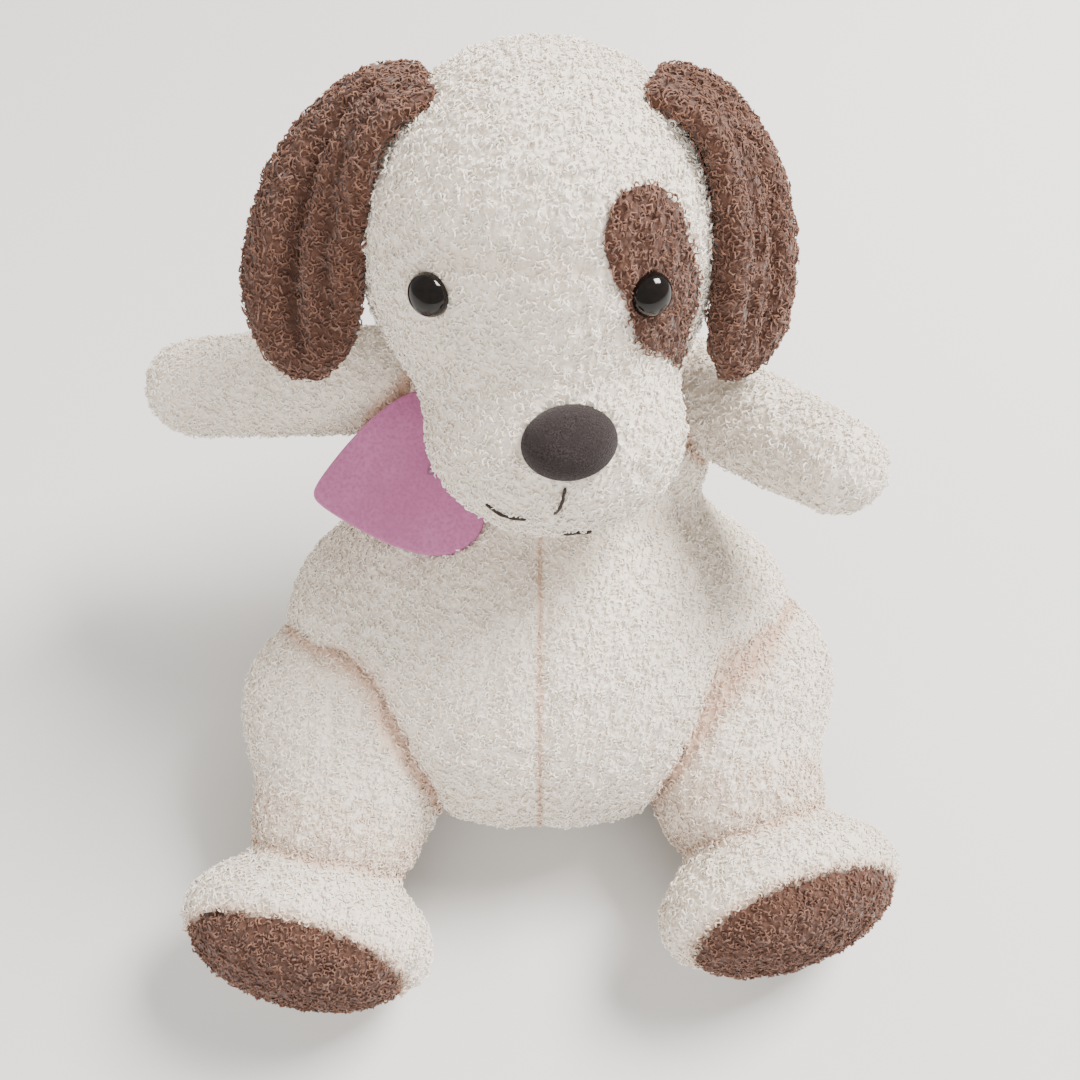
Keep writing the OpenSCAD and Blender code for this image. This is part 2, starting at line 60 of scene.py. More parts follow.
# %% Camera
camera = bpy.data.objects.new("camera", bpy.data.cameras.new("camera"))
scene.collection.objects.link(camera)
camera.location = (0, -0.115, 0.267)
up_from_plumb = 31
camera.rotation_euler = (math.radians(up_from_plumb), 0, 0)
camera.data.sensor_width = 36
camera.data.lens = 36.03
camera.data.clip_start = 0.005
scene.camera = camera
print("camera looks down by", 90 - up_from_plumb, "degrees")

# %% Soft lamps and a pale room
def lamp(name, place, size, power, tint, mirrored=False, aim=(0, 0.01, 0.06)):
    """A square area lamp: it stands at place and faces the point aim. Only a mirrored one shows in gloss."""
    data = bpy.data.lights.new(name, "AREA")
    data.size, data.energy, data.color = size, power, tint
    ob = bpy.data.objects.new(name, data)
    ob.location = place
    look = np.array(aim) - np.array(place)
    flat = math.hypot(look[0], look[1])
    ob.rotation_euler = (math.atan2(flat, -look[2]), 0, math.atan2(look[0], -look[1]) + math.pi)
    ob.visible_glossy = mirrored
    scene.collection.objects.link(ob)

lamp("window", (0.5, 0.3, 0.8), 0.38, 30.0, (1.0, 0.98, 0.95), mirrored=True)
lamp("room_left", (-0.75, -0.1, 0.5), 0.9, 6.0, (1.0, 0.95, 0.9))
lamp("front_fill", (0.15, -0.85, 0.42), 0.8, 9.5, (0.99, 0.99, 1.0))
world = bpy.data.worlds.new("room")
world.use_nodes = True
sky = world.node_tree.nodes["Background"].inputs
sky["Color"].default_value, sky["Strength"].default_value = (1.0, 0.98, 0.95, 1), 0.55
scene.world = world

# %% [markdown]
# ## Meshes from whole arrays
# A skin is a grid of points worked out in one go. These helpers turn such a grid into a mesh, with a single
# point closing each end so that no hole or doubled pole is left.

# %% Grid to mesh
def make(name, points, faces, smooth=True):
    """A mesh object from an (n, 3) array of points in metres and an (m, 3 or 4) array of corners."""
    mesh = bpy.data.meshes.new(name)
    corners = faces if isinstance(faces, list) else faces.tolist()
    mesh.from_pydata(np.asarray(points, float).tolist(), [], corners)
    mesh.polygons.foreach_set("use_smooth", np.full(len(mesh.polygons), smooth))
    mesh.update()
    ob = bpy.data.objects.new(name, mesh)
    scene.collection.objects.link(ob)
    return ob

def grid_faces(rows, columns):
    """Quads of a rows x columns grid whose last column joins the first."""
    i, j = np.meshgrid(np.arange(rows - 1), np.arange(columns), indexing="ij")
    k = (j + 1) % columns
    quads = np.stack([i * columns + j, i * columns + k, (i + 1) * columns + k, (i + 1) * columns + j], -1)
    return quads.reshape(-1, 4)

def closed_skin(name, rings, first, last):
    """Rings (rows, columns, 3) closed by one point at each end. Faces look outwards where the rings turn
    anticlockwise seen from the last end."""
    rows, columns = rings.shape[:2]
    points = np.vstack([rings.reshape(-1, 3), first, last])
    j = np.arange(columns)
    k = (j + 1) % columns
    a, b = rows * columns, rows * columns + 1
    fan_a = np.stack([np.full(columns, a), k, j], 1)
    end = (rows - 1) * columns
    fan_b = np.stack([np.full(columns, b), end + j, end + k], 1)
    return make(name, points, grid_faces(rows, columns).tolist() + fan_a.tolist() + fan_b.tolist())

def arrays(ob):
    """Points, triangles and point normals of an object's mesh."""
    mesh = ob.data
    mesh.calc_loop_triangles()
    points = np.empty(len(mesh.vertices) * 3)
    mesh.vertices.foreach_get("co", points)
    normals = np.empty(len(mesh.vertices) * 3)
    mesh.vertices.foreach_get("normal", normals)
    tris = np.empty(len(mesh.loop_triangles) * 3, int)
    mesh.loop_triangles.foreach_get("vertices", tris)
    return points.reshape(-1, 3), tris.reshape(-1, 3), normals.reshape(-1, 3)

print("mesh helpers ready")

# %% [markdown]
# ## Soft forms as distance fields
# A stuffed shape is round, and where two stuffed shapes press together there is a soft crease. Distance
# formulas give both for free: a smooth union rounds the join of two balls, and a smooth subtraction presses
# a dent. The skin is where the formula is zero, found along rays from the middle of the piece.

# %% Field formulas
def length(v):
    return np.sqrt((v * v).sum(-1))

def in_mm(*values):
    """Values given in millimetres, as an array in metres."""
    return np.array(values) * mm

def egg(p, at, r):
    """Ellipsoid: k (k - 1) / |q / r| with q = (p - at) / r and k = |q|, close to the distance."""
    q = (p - at) / r
    k = length(q) + 1e-12
    return k * (k - 1) / (length(q / r) + 1e-12)

def stub(p, a, b, ra, rb):
    """Tapered rod from a to b: |p - a - t ab| - (ra + t (rb - ra)), t the place along it from 0 to 1."""
    ab = np.asarray(b, float) - a
    t = np.clip(((p - a) @ ab) / (ab @ ab), 0, 1)
    return length(p - a - t[..., None] * ab) - (ra + t * (rb - ra))

def join(d, e, k):
    """Smooth union: the smaller distance, rounded over a width k."""
    h = np.clip(0.5 + 0.5 * (e - d) / k, 0, 1)
    return e + (d - e) * h - k * h * (1 - h)

def dent(d, hollow, k):
    """Smooth subtraction: what is inside the hollow is pressed away, rounded over a width k."""
    return -join(-d, hollow, k)

def near(d, width):
    """Closeness exp(-(d / width)^2): 1 on a line or a surface, falling to 0 over about two widths."""
    return np.exp(-(d / width) ** 2)

def circle(u, a, b):
    """The direction cos u a + sin u b at each angle u."""
    return np.cos(u)[..., None] * a + np.sin(u)[..., None] * b

def way(heading, rise):
    """Unit vector at a heading in plan, anticlockwise from +X, and a rise above level, in degrees."""
    h, r = math.radians(heading), math.radians(rise)
    return np.array([math.cos(h) * math.cos(r), math.sin(h) * math.cos(r), math.sin(r)])

print("forward is", way(-90, 0).round(3))

# %% Skin of a field
def wrap(name, field, centre, reach, columns=150, rows=90, up=(0, 0, 1)):
    """Skin of a form seen whole from its centre: along each ray at angles (u, v) from the axis up, the first
    place from inside where the field turns positive, found by steps and then halving."""
    up = np.array(up, float) / np.linalg.norm(up)
    side = np.cross(up, [0.31, 0.87, 0.39])
    side /= np.linalg.norm(side)
    front = np.cross(up, side)
    u = np.linspace(0, 2 * np.pi, columns, endpoint=False)
    v = np.linspace(0, np.pi, rows + 2)
    ray = np.sin(v)[:, None, None] * circle(u, side, front) + np.cos(v)[:, None, None] * up
    steps = np.linspace(0.02, 1, 70) * reach
    outside = field(centre + steps[:, None, None, None] * ray) > 0
    first = np.where(outside.any(0), outside.argmax(0), len(steps) - 1)
    high = steps[first]
    low = steps[np.maximum(first - 1, 0)]
    for _ in range(12):
        middle = (low + high) / 2
        out = field(centre + middle[..., None] * ray) > 0
        high, low = np.where(out, middle, high), np.where(out, low, middle)
    skin = centre + high[..., None] * ray
    return closed_skin(name, skin[1:-1][::-1], skin[-1, 0], skin[0, 0])

# %% [markdown]
# ## Stuffing
# A sewn skin is never a perfect formula: the filling pushes the cloth out between the seams and the seams
# hold it back. Each skin is remeshed into even squares and given a short cloth simulation with air pressure
# inside, its seams pinned, and no point may travel further than a cap. All skins puff up in one run.

# %% Even squares, and the cloth run
waiting = []

def baked(ob):
    """Replaces an object's mesh by what its modifiers make of it."""
    graph = bpy.context.evaluated_depsgraph_get()
    mesh = bpy.data.meshes.new_from_object(ob.evaluated_get(graph), depsgraph=graph)
    ob.modifiers.clear()
    ob.data = mesh
    mesh.polygons.foreach_set("use_smooth", np.ones(len(mesh.polygons), bool))

def stuff(ob, seam=None, voxel=2.2 * mm, pressure=4.0, cap=1.0 * mm, smooth=4):
    """Remeshes a skin into even squares and queues it for the cloth run. seam(p) is 1 on the stitching."""
    squares = ob.modifiers.new("squares", "REMESH")
    squares.mode, squares.voxel_size = "VOXEL", voxel
    soften = ob.modifiers.new("soften", "SMOOTH")
    soften.iterations, soften.factor = smooth, 0.5
    baked(ob)
    waiting.append((ob, seam, pressure, cap))
    return ob

def puff_up():
    """Runs the queued cloths together for 20 frames, and keeps each point within its cap."""
    queue = waiting
    before = {}
    for ob, seam, pressure, cap in queue:
        points = arrays(ob)[0]
        before[ob.name] = points
        cloth = ob.modifiers.new("air", "CLOTH")
        settings = cloth.settings
        settings.quality, settings.mass = 4, 0.2
        settings.use_pressure, settings.uniform_pressure_force = True, pressure
        settings.effector_weights.gravity = 0
        if seam is not None:
            held = ob.vertex_groups.new(name="held")
            strength = np.round(np.clip(seam(points), 0, 1), 1)
            for level in np.unique(strength[strength > 0]):
                held.add(np.flatnonzero(strength == level).tolist(), float(level), "REPLACE")
            settings.vertex_group_mass = "held"
    if queue:
        for number in range(1, 21):
            scene.frame_set(number)
    for ob, seam, pressure, cap in queue:
        baked(ob)
        points = arrays(ob)[0]
        move = points - before[ob.name]
        far = length(move)[:, None]
        move *= np.minimum(1, cap / np.maximum(far, 1e-9))
        ob.data.vertices.foreach_set("co", (before[ob.name] + move).ravel())
        ob.vertex_groups.clear()
        print("puffed", ob.name, "by up to", round(float(far.max()) / mm, 2), "mm, kept to", cap / mm)
    scene.frame_set(1)
    for ob, *_ in waiting:
        finer = ob.modifiers.new("finer", "SUBSURF")
        finer.levels = finer.render_levels = 1
        baked(ob)
        points, _, normals = arrays(ob)
        ob.data.vertices.foreach_set("co", clumps(points, normals, 0.2 * mm, 3.4 * mm).ravel())
        ob.data.update()
    waiting.clear()

def clumps(points, normals, height, width, seed=5, waves=26):
    """Moves points along their normals by a sum of waves h sin(k . p + c), k of many directions and lengths
    round 2 pi / width: the pile's matted lumps."""
    rng = np.random.default_rng(seed)
    k = rng.normal(size=(waves, 3))
    k *= (2 * np.pi / (width * rng.uniform(0.75, 1.5, waves)) / length(k))[:, None]
    sway = np.sin(points @ k.T + rng.uniform(0, 2 * np.pi, waves)).sum(1) / math.sqrt(waves / 2)
    return points + normals * (height * np.clip(sway, -1.6, 1.6))[:, None]

# %% [markdown]
# ## Looped pile
# The cloth is a terry or boucle pile: loops of soft yarn about a millimetre across that lie every way. A
# bump map can't give their ragged outline, so each loop is a real bent strand of 18 triangles. A loop's root
# is a random point of the skin, and its plane leans at random between upright and flat.

# %% Scatter points evenly over a skin
def scatter(ob, spacing, seed, keep=None):
    """Points and normals on a skin, one per spacing squared. The triangles are laid end to end along a
    winding order of small boxes, and the running area is cut at even steps, which spreads the points."""
    rng = np.random.default_rng(seed)
    points, tris, normals = arrays(ob)
    corner = points[tris]
    area = length(np.cross(corner[:, 1] - corner[:, 0], corner[:, 2] - corner[:, 0])) / 2
    box = np.floor((corner.mean(1) - points.min(0)) / (5 * spacing)).astype(int)
    order = np.lexsort((box[:, 0], np.where(box[:, 2] % 2, -box[:, 1], box[:, 1]), box[:, 2]))
    running = np.cumsum(area[order])
    count = int(running[-1] / spacing ** 2)
    spots = (np.arange(count) + rng.random(count)) * running[-1] / count
    pick = order[np.minimum(np.searchsorted(running, spots), len(order) - 1)]
    a, b = rng.random(count), rng.random(count)
    a, b = np.where(a + b > 1, 1 - a, a), np.where(a + b > 1, 1 - b, b)
    weights = np.stack([1 - a - b, a, b], 1)[..., None]
    place = (corner[pick] * weights).sum(1)
    normal = (normals[tris[pick]] * weights).sum(1)
    normal /= length(normal)[:, None]
    if keep is not None:
        mask = keep(place)
        place, normal = place[mask], normal[mask]
    return place, normal, rng

# %% One loop of yarn at each point
def loops(name, place, normal, rng, radius=0.58 * mm, long=1.0):
    """Bent strands c(t) = p + h n + r (cos t a + sin t b), t over half a turn to three quarters; a lies
    along the cloth and b leans between the cloth and its normal. The strand is a three-sided tube."""
    yarn, rings, stand, turns = 0.2 * mm, 4, 0.42, (3.0, 4.8)
    third = 2 * np.pi / 3
    n = len(place)
    r = radius * rng.uniform(0.6, 1.4, n)[:, None]
    flat = np.cross(normal, rng.normal(size=(n, 3)))
    flat /= length(flat)[:, None]
    across = np.cross(normal, flat)
    lean = rng.uniform(0.1, 1.15, n)[:, None]
    b = np.sin(lean) * normal + np.cos(lean) * across
    middle = place + normal * (r * stand)
    begin, sweep = rng.uniform(0, 2 * np.pi, n), rng.uniform(*turns, n)
    t = (begin[:, None] + sweep[:, None] * np.linspace(0, 1, rings)[None])[..., None]
    flat, b, r3 = flat[:, None], b[:, None], r[:, None]
    spine = middle[:, None] + r3 * (long * np.cos(t) * flat + np.sin(t) * b)
    out = np.cos(t) * flat + np.sin(t) * b
    plane = np.cross(flat, b)
    thick = yarn * np.array([0.5, 1.1, 1.1, 0.5])[None, :, None] * rng.uniform(0.8, 1.2, n)[:, None, None]
    tube = [spine + thick * (math.cos(k) * out + math.sin(k) * plane) for k in 0.5 + third * np.arange(3)]
    points = np.stack(tube, 2).reshape(-1, 3)
    base = grid_faces(rings, 3)
    faces = (np.arange(n)[:, None, None] * (rings * 3) + base[None]).reshape(-1, 4)
    ob = make(name, points, faces)
    tone = ob.data.attributes.new("tone", "FLOAT", "POINT")
    tone.data.foreach_set("value", np.repeat(rng.uniform(0, 1, n), rings * 3).astype(np.float32))
    return ob

piles = []

def pile(skin, body, material, spacing=1.0 * mm, seed=1, keep=None, crease=None, parts=1, **shape):
    """Covers a skin with loops in a few pieces, each under 200,000 triangles, and tints them near seams and
    creases, partly as seam colour and partly as painted crease shade.
    """
    place, normal, rng = scatter(skin, spacing, seed, keep)
    share = np.arange(len(place)) * parts // len(place)
    made = []
    for part in range(parts):
        some = share == part
        name = skin.name + "_pile" + (str(part + 1) if parts > 1 else "")
        ob = loops(name, place[some], normal[some], rng, **shape)
        tint(ob, crease)
        ob.data.materials.append(material)
        made.append(ob)
    print(skin.name, "loops", len(place), "in", parts)
    piles.append((made, body))
    return made

def tint(ob, crease):
    """Writes how close each point is to a seam or crease, from 0 to 1, as the attribute seam. The finishes
    turn it into a darker tint: partly seam colour, partly painted crease shade.
    """
    points = arrays(ob)[0]
    close = np.zeros(len(points)) if crease is None else np.clip(crease(points), 0, 1)
    data = ob.data.attributes.new("seam", "FLOAT", "POINT")
    data.data.foreach_set("value", close.astype(np.float32))

def dress(skin, crease, cloth):
    """Tints a skin near its seams and creases, partly as seam colour and partly as painted crease shade, and
    gives it its backing cloth.
    """
    tint(skin, crease)
    skin.data.materials.append(cloth)

print("pile helpers ready")

# %% [markdown]
# ## Finishes
# Every finish is a node tree on Object coordinates, so that it stays in place on its piece. The yarn is
# almost white. The backing cloth under the loops is a little warmer and darker, as painted shade between
# the loops, and along the seams and creases the cloth turns tan: partly the seam's own colour where the
# backing shows, partly painted crease shade.

# %% Node helpers
def finish(name, **sockets):
    """A new material; the Principled shader's own sockets are set straight to the given numbers."""
    mat = bpy.data.materials.new(name)
    mat.use_nodes = True
    shader = mat.node_tree.nodes["Principled BSDF"]
    for key, value in sockets.items():
        shader.inputs[key.replace("_", " ")].default_value = value
    return mat, mat.node_tree, shader

def node(tree, kind, **values):
    """Adds a node, setting its properties, and its input sockets by name."""
    made = tree.nodes.new(kind)
    for key, value in values.items():
        if key in made.bl_rna.properties.keys():
            setattr(made, key, value)
        else:
            made.inputs[key.replace("_", " ")].default_value = value
    return made

def mottle(tree, scale, detail=3.0, rough=0.6):
    """Noise from 0 to 1 on Object coordinates, scale in waves per metre."""
    where = node(tree, "ShaderNodeTexCoord")
    noise = node(tree, "ShaderNodeTexNoise", Scale=scale, Detail=detail, Roughness=rough)
    tree.links.new(where.outputs["Object"], noise.inputs["Vector"])
    return noise.outputs["Fac"]

def attribute(tree, name):
    """The value that each point of a piece carries under a name."""
    return node(tree, "ShaderNodeAttribute", attribute_name=name).outputs["Fac"]

def cells(tree, scale, **values):
    """Voronoi cells on Object coordinates: the distance from the middle of a cell."""
    where = node(tree, "ShaderNodeTexCoord")
    made = node(tree, "ShaderNodeTexVoronoi", Scale=scale, **values)
    tree.links.new(where.outputs["Object"], made.inputs["Vector"])
    return made.outputs["Distance"]

def blend_colours(tree, factor, a, b):
    """Mixes two colours, each a tuple or a socket, by a factor socket or number."""
    mix = node(tree, "ShaderNodeMix", data_type="RGBA")
    for socket, value in ((mix.inputs[0], factor), (mix.inputs[6], a), (mix.inputs[7], b)):
        if isinstance(value, bpy.types.NodeSocket):
            tree.links.new(value, socket)
        else:
            socket.default_value = value if isinstance(value, (int, float)) else (*value, 1)
    return mix.outputs[2]

def ramp(tree, socket, low, high):
    """Stretches a value so that low becomes 0 and high becomes 1."""
    scale = node(tree, "ShaderNodeMapRange")
    scale.inputs["From Min"].default_value, scale.inputs["From Max"].default_value = low, high
    tree.links.new(socket, scale.inputs["Value"])
    return scale.outputs["Result"]

def paint(tree, shader, factor, a, b):
    """Colours a shader by a mix of a and b."""
    tree.links.new(blend_colours(tree, factor, a, b), shader.inputs["Base Color"])

def bumpy(tree, shader, height, strength, depth):
    """Adds a bump of a depth in metres to a shader."""
    bump = node(tree, "ShaderNodeBump", Strength=strength, Distance=depth)
    tree.links.new(height, bump.inputs["Height"])
    tree.links.new(bump.outputs["Normal"], shader.inputs["Normal"])

def speckled(name, a, b, scale, bump=None, **sockets):
    """A hard finish mottled between two colours. bump is the scale, strength and depth of a fine relief."""
    mat, tree, shader = finish(name, **sockets)
    paint(tree, shader, mottle(tree, scale), a, b)
    if bump:
        bumpy(tree, shader, mottle(tree, bump[0]), *bump[1:])
    return mat

print("node helpers ready")

# %% Yarn and backing cloth
def yarn(name, light, deep, backing):
    """Looped pile: its colour drifts between a light and a deep tone from loop to loop and over the piece,
    and turns to the colour backing along the seams and creases: partly the seam's own colour, partly painted
    crease shade."""
    mat, tree, shader = finish(name, Roughness=0.95, Specular_IOR_Level=0.12, Sheen_Weight=0.12,
                               Sheen_Roughness=0.6)
    broad = mottle(tree, 55.0, 2.0)
    each = blend_colours(tree, attribute(tree, "tone"), deep, light)
    patchy = blend_colours(tree, ramp(tree, broad, 0.3, 0.7), deep, each)
    soft = blend_colours(tree, 0.65, patchy, each)
    # Along seams and creases the loops turn to the backing colour: partly seam colour, partly painted crease
    # shade.
    paint(tree, shader, attribute(tree, "seam"), soft, backing)
    fuzz = mottle(tree, 2600.0, 2.0)
    bumpy(tree, shader, fuzz, 0.5, 0.0003)
    return mat

def backing(name, light, deep, seam_and_crease_shade_colour):
    """Knitted backing under the pile, coloured darker than its loops as painted shade between them: small
    cells of a voronoi pattern, darker in their gaps as painted shade.
    """
    mat, tree, shader = finish(name, Roughness=0.95, Specular_IOR_Level=0.2, Sheen_Weight=0.2)
    knit = cells(tree, 850.0)
    broad = mottle(tree, 70.0)
    knit_gap_shade = ramp(tree, knit, 0.2, 0.75)
    colour = blend_colours(tree, ramp(tree, broad, 0.35, 0.75), blend_colours(tree, knit_gap_shade, light, deep), deep)
    # Along seams and creases the cloth turns to a darker colour: partly seam colour, partly painted crease
    # shade.
    paint(tree, shader, attribute(tree, "seam"), colour, seam_and_crease_shade_colour)
    bumpy(tree, shader, knit, 0.8, -0.0006)
    return mat

# tan and the darkest colour of each yarn paint the seams and creases: partly seam colour, partly painted crease
# shade.
tan = (0.60, 0.37, 0.25)
cream_yarn = yarn("cream looped pile", (0.96, 0.905, 0.82), (0.88, 0.79, 0.68), tan)
# The backing cloths are darker than their yarns: painted shade between the loops.
cream_backing_gap_shade = backing("cream backing cloth", (0.88, 0.80, 0.70), (0.74, 0.64, 0.53), tan)
brown_yarn = yarn("brown looped pile", (0.225, 0.112, 0.074), (0.118, 0.054, 0.035), (0.085, 0.038, 0.025))
brown_backing_gap_shade = backing("brown backing cloth", (0.12, 0.056, 0.037), (0.068, 0.031, 0.021), (0.06, 0.028, 0.019))
print("pile finishes", cream_yarn.name, brown_yarn.name)

# %% [markdown]
# ## Where everything is
# The joints of the real toy's model are the middles of its round limb roots, so the places come from there.
# Only the directions and the plump radii are written here, in millimetres for easy reading.

# %% Places
neck = pivot["neck_turn"]
skull = neck + in_mm(0, 1, 29)
skull_r = 34.75 * mm
muzzle = skull + in_mm(3, -34, -19)
muzzle_r = in_mm(25, 20, 18)
sides = {"left": 1, "right": -1}
shoulder = {s: pivot["shoulder_" + s] for s in sides}
arm_way = {"left": way(-51, 21), "right": way(180, -3.7)}
hip = {s: pivot["hip_" + s] for s in sides}
ankle = {s: pivot["ankle_" + s] for s in sides}
foot_turn = {"left": 18, "right": -12}
print("skull middle", (skull / mm).round(1), "muzzle middle", (muzzle / mm).round(1))

def turned(p, angle, about):
    """Points turned by an angle in degrees about the vertical line through a point."""
    a = math.radians(angle)
    q = p - about
    return np.stack([q[..., 0] * math.cos(a) - q[..., 1] * math.sin(a),
                     q[..., 0] * math.sin(a) + q[..., 1] * math.cos(a), q[..., 2]], -1) + about

# %% [markdown]
# ## The body
# The body is four round lumps sewn into one: hips, waist, chest and collar. The thighs, arms, head and tag
# press dents into it. A seam runs down the middle of the belly, where the two front panels meet, and the
# cloth dips into it.

# %% Body form
def arm_stub(p, s, ra, rb):
    """Distance to an arm's straight stub of given radii at its root and tip."""
    return stub(p, shoulder[s], shoulder[s] + 46 * mm * arm_way[s], ra, rb)

def leg_stub(p, s, ra=25.6 * mm, rb=19.2 * mm):
    """Distance to a leg's stub from hip to ankle, by default of the leg's own radii."""
    return stub(p, hip[s], ankle[s], ra, rb)

def body_field(p):
    """Smooth union of four eggs and a plump egg at each hip, less the hollows of its neighbours and a groove
    down the belly."""
    d = egg(p, in_mm(0, -1, 30), in_mm(59, 44, 36))
    d = join(d, egg(p, in_mm(0, 8, 45), in_mm(47, 37, 26)), 5 * mm)
    d = join(d, egg(p, in_mm(0, 32, 68), in_mm(40, 24, 24)), 7 * mm)
    d = join(d, egg(p, in_mm(0, 40, 76), in_mm(26, 19, 12)), 6 * mm)
    for k in (1, -1):
        d = join(d, egg(p, in_mm(k * 43.5, 0, 40), in_mm(14.5, 24, 15)), 6 * mm)
    for s in sides:
        d = dent(d, leg_stub(p, s, 24.7 * mm, 19.6 * mm), 2.2 * mm)
        d = dent(d, arm_stub(p, s, 11 * mm, 10.6 * mm), 2.5 * mm)
    d = dent(d, length(p - skull) - skull_r - 0.5 * mm, 3 * mm)
    for turn in (-10, 0, 12):
        d = dent(d, egg(turned(p, -turn, neck), muzzle, muzzle_r + 0.6 * mm), 3 * mm)
    d = dent(d, tag_field(p), 2 * mm)
    front = np.clip((5 * mm - p[..., 1]) / (10 * mm), 0, 1)
    d = d + 1.1 * mm * front * near(p[..., 0], 1.6 * mm)
    floor = 0.4 * mm - p[..., 2]
    return -join(-d, -floor, 1.5 * mm)

tag_place = pivot["tag_swing"]

def tag_frame():
    """The tag's own axes: along to its point, across, and out of its face, rolled 27 degrees."""
    along, level = way(186.2, -10.4), way(276.2, 0)
    up = np.cross(along, level)
    roll = math.radians(-27)
    across = math.cos(roll) * level + math.sin(roll) * up
    return along, across, np.cross(along, across)

tag_along, tag_across, tag_out = tag_frame()

def tag_field(p):
    """Flat room for the stiff tag: a plump round slab above its underside."""
    q = p - tag_place
    x, y, z = q @ tag_along, q @ tag_across, q @ tag_out
    flat = np.sqrt(((x - 15 * mm) / (21 * mm)) ** 2 + (y / (19 * mm)) ** 2) - 1
    return np.maximum(flat * 19 * mm, -(z + 2.2 * mm))

body_skin = wrap("body_skin", body_field, in_mm(0, 14, 48), 80 * mm, 190, 120)
stuff(body_skin, seam=lambda p: near(p[:, 0], 2.2 * mm) * (p[:, 1] < 0) + (p[:, 2] < 1.2 * mm),
      voxel=2.3 * mm, cap=1.0 * mm, smooth=2)
print("body skin points", len(body_skin.data.vertices))

# %% [markdown]
# ## The head
# A ball for the skull runs into a broad muzzle. A seam crosses the bridge of the nose between the eyes and
# pulls the cloth in, so the forehead domes over it.

# %% Head form
def head_way(azimuth, elevation):
    """Direction from the skull's middle: azimuth from straight ahead towards the puppy's left."""
    a, e = math.radians(azimuth), math.radians(elevation)
    return np.array([math.sin(a) * math.cos(e), -math.cos(a) * math.cos(e), math.sin(e)])

bridge = [skull + (skull_r + 0.6 * mm) * head_way(a, e) for a, e in
          ((-34, 30), (-24, 33), (-12, 34.5), (0, 34.5), (12, 33), (24, 30), (33, 26))]

def bridge_gap(p):
    """Distance to the seam line over the bridge of the nose."""
    d = np.full(p.shape[:-1], 1.0)
    for a, b in zip(bridge[:-1], bridge[1:]):
        d = np.minimum(d, stub(p, a, b, 0, 0))
    return d

def head_field(p):
    """Skull ball, a tapering bridge to the muzzle egg, and two cheek balls, with the bridge seam drawn in."""
    d = length(p - skull) - skull_r
    d = join(d, stub(p, skull + in_mm(0, -5, 2), muzzle, 29 * mm, 17.5 * mm), 5 * mm)
    for side in (1, -1):
        cheek = skull + in_mm(side * 6.5, -7.5, -8)
        d = join(d, stub(p, cheek, muzzle + in_mm(side * 4, 2, 0), 25.5 * mm, 17 * mm), 4 * mm)
    d = join(d, egg(p, muzzle, muzzle_r), 4 * mm)
    return d + 1.0 * mm * near(bridge_gap(p), 2.4 * mm)

head_skin = wrap("head_skin", head_field, skull + in_mm(0, -8, -4), 70 * mm, 170, 110,
                 up=(0, -0.5, 0.87))
stuff(head_skin, seam=lambda p: near(bridge_gap(p), 2.5 * mm), voxel=2.1 * mm, cap=0.8 * mm, smooth=2)
print("head skin points", len(head_skin.data.vertices))

# %% [markdown]
# ## Arms, legs and tail
# Each limb is a stub: a ball at the joint, a ball at the tip and cloth stretched between. The ball at the
# root sits in a hollow of the body, so a limb can turn without opening a gap.

# %% Limb forms
def limb(name, a, b, ra, rb, bulge=0.0, voxel=2.1 * mm, cap=0.8 * mm, lump=None):
    """A tapered stub with a plump middle: the radius gains bulge sin(pi t) at t along it. A lump (middle,
    radii) is joined on where there is one."""
    a, b = np.asarray(a, float), np.asarray(b, float)
    ab = b - a
    def field(p):
        t = np.clip(((p - a) @ ab) / (ab @ ab), 0, 1)
        d = length(p - a - t[..., None] * ab) - (ra + t * (rb - ra) + bulge * np.sin(np.pi * t))
        return d if lump is None else join(d, egg(p, *lump), 6 * mm)
    skin = wrap(name, field, (a + b) / 2, np.linalg.norm(ab) + ra + rb, 90, 60, up=ab)
    return stuff(skin, voxel=voxel, cap=cap, smooth=1)

arms, legs = {}, {}
for s in sides:
    reach, tip_r = {"right": (46 * mm, 10.8 * mm), "left": (44.5 * mm, 9.3 * mm)}[s]
    arms[s] = limb("arm_" + s, shoulder[s], shoulder[s] + reach * arm_way[s], 11.6 * mm, tip_r, 0.3 * mm)
    thigh = (hip[s] + in_mm(sides[s] * 8.5, 2, 5), in_mm(19.5, 21, 19))
    legs[s] = limb("leg_" + s, hip[s], ankle[s], 25.6 * mm, 19.2 * mm, lump=thigh)
tail_root = pivot["tail_wag"]
tail_skin = limb("tail_skin", tail_root, tail_root + 24 * mm * way(90, 38), 6.7 * mm, 5.3 * mm, 0.6 * mm,
                 voxel=1.6 * mm, cap=0.4 * mm)
lift = in_mm(0, 0, 1)
neck_skin = limb("neck_skin", neck - lift, neck + lift, 13.4 * mm, 13.4 * mm)
print("limbs", [o.name for o in (*arms.values(), *legs.values(), tail_skin, neck_skin)])

# %% [markdown]
# ## Feet
# A foot is a plump slipper: a cream upper and a brown sole panel, joined by a seam that runs round the front
# and underside. It is stuffed as one form and then cut along the seam, so the two halves meet exactly.

# %% Foot forms
foot_size = np.array([55, 30, 42]) / 2 * mm
foot_step, foot_up, cuff_r = 24.5 * mm, 21.6 * mm, 19.8 * mm
foot_at, foot_axes = {}, {}
for s in sides:
    heading = way(-90 + foot_turn[s], 0)
    middle = ankle[s] + heading * foot_step
    foot_at[s] = np.array([middle[0], middle[1], foot_up])
    foot_axes[s] = np.stack([np.cross([0, 0, 1.0], heading), -heading, [0, 0, 1.0]])

def foot_local(p, s):
    """Foot coordinates: across, backwards and up from the foot's middle."""
    return (p - foot_at[s]) @ foot_axes[s].T

def sole_side(p, s):
    """Signed distance to the sole seam's plane, negative in front of it. It leans back 16 degrees, through a
    place 9 mm ahead of the foot's middle and 5 mm below it."""
    q = foot_local(p, s)
    a = math.radians(-16)
    y, z = q[..., 1] + 9 * mm, q[..., 2] + 5 * mm
    return y * math.cos(a) + z * math.sin(a)

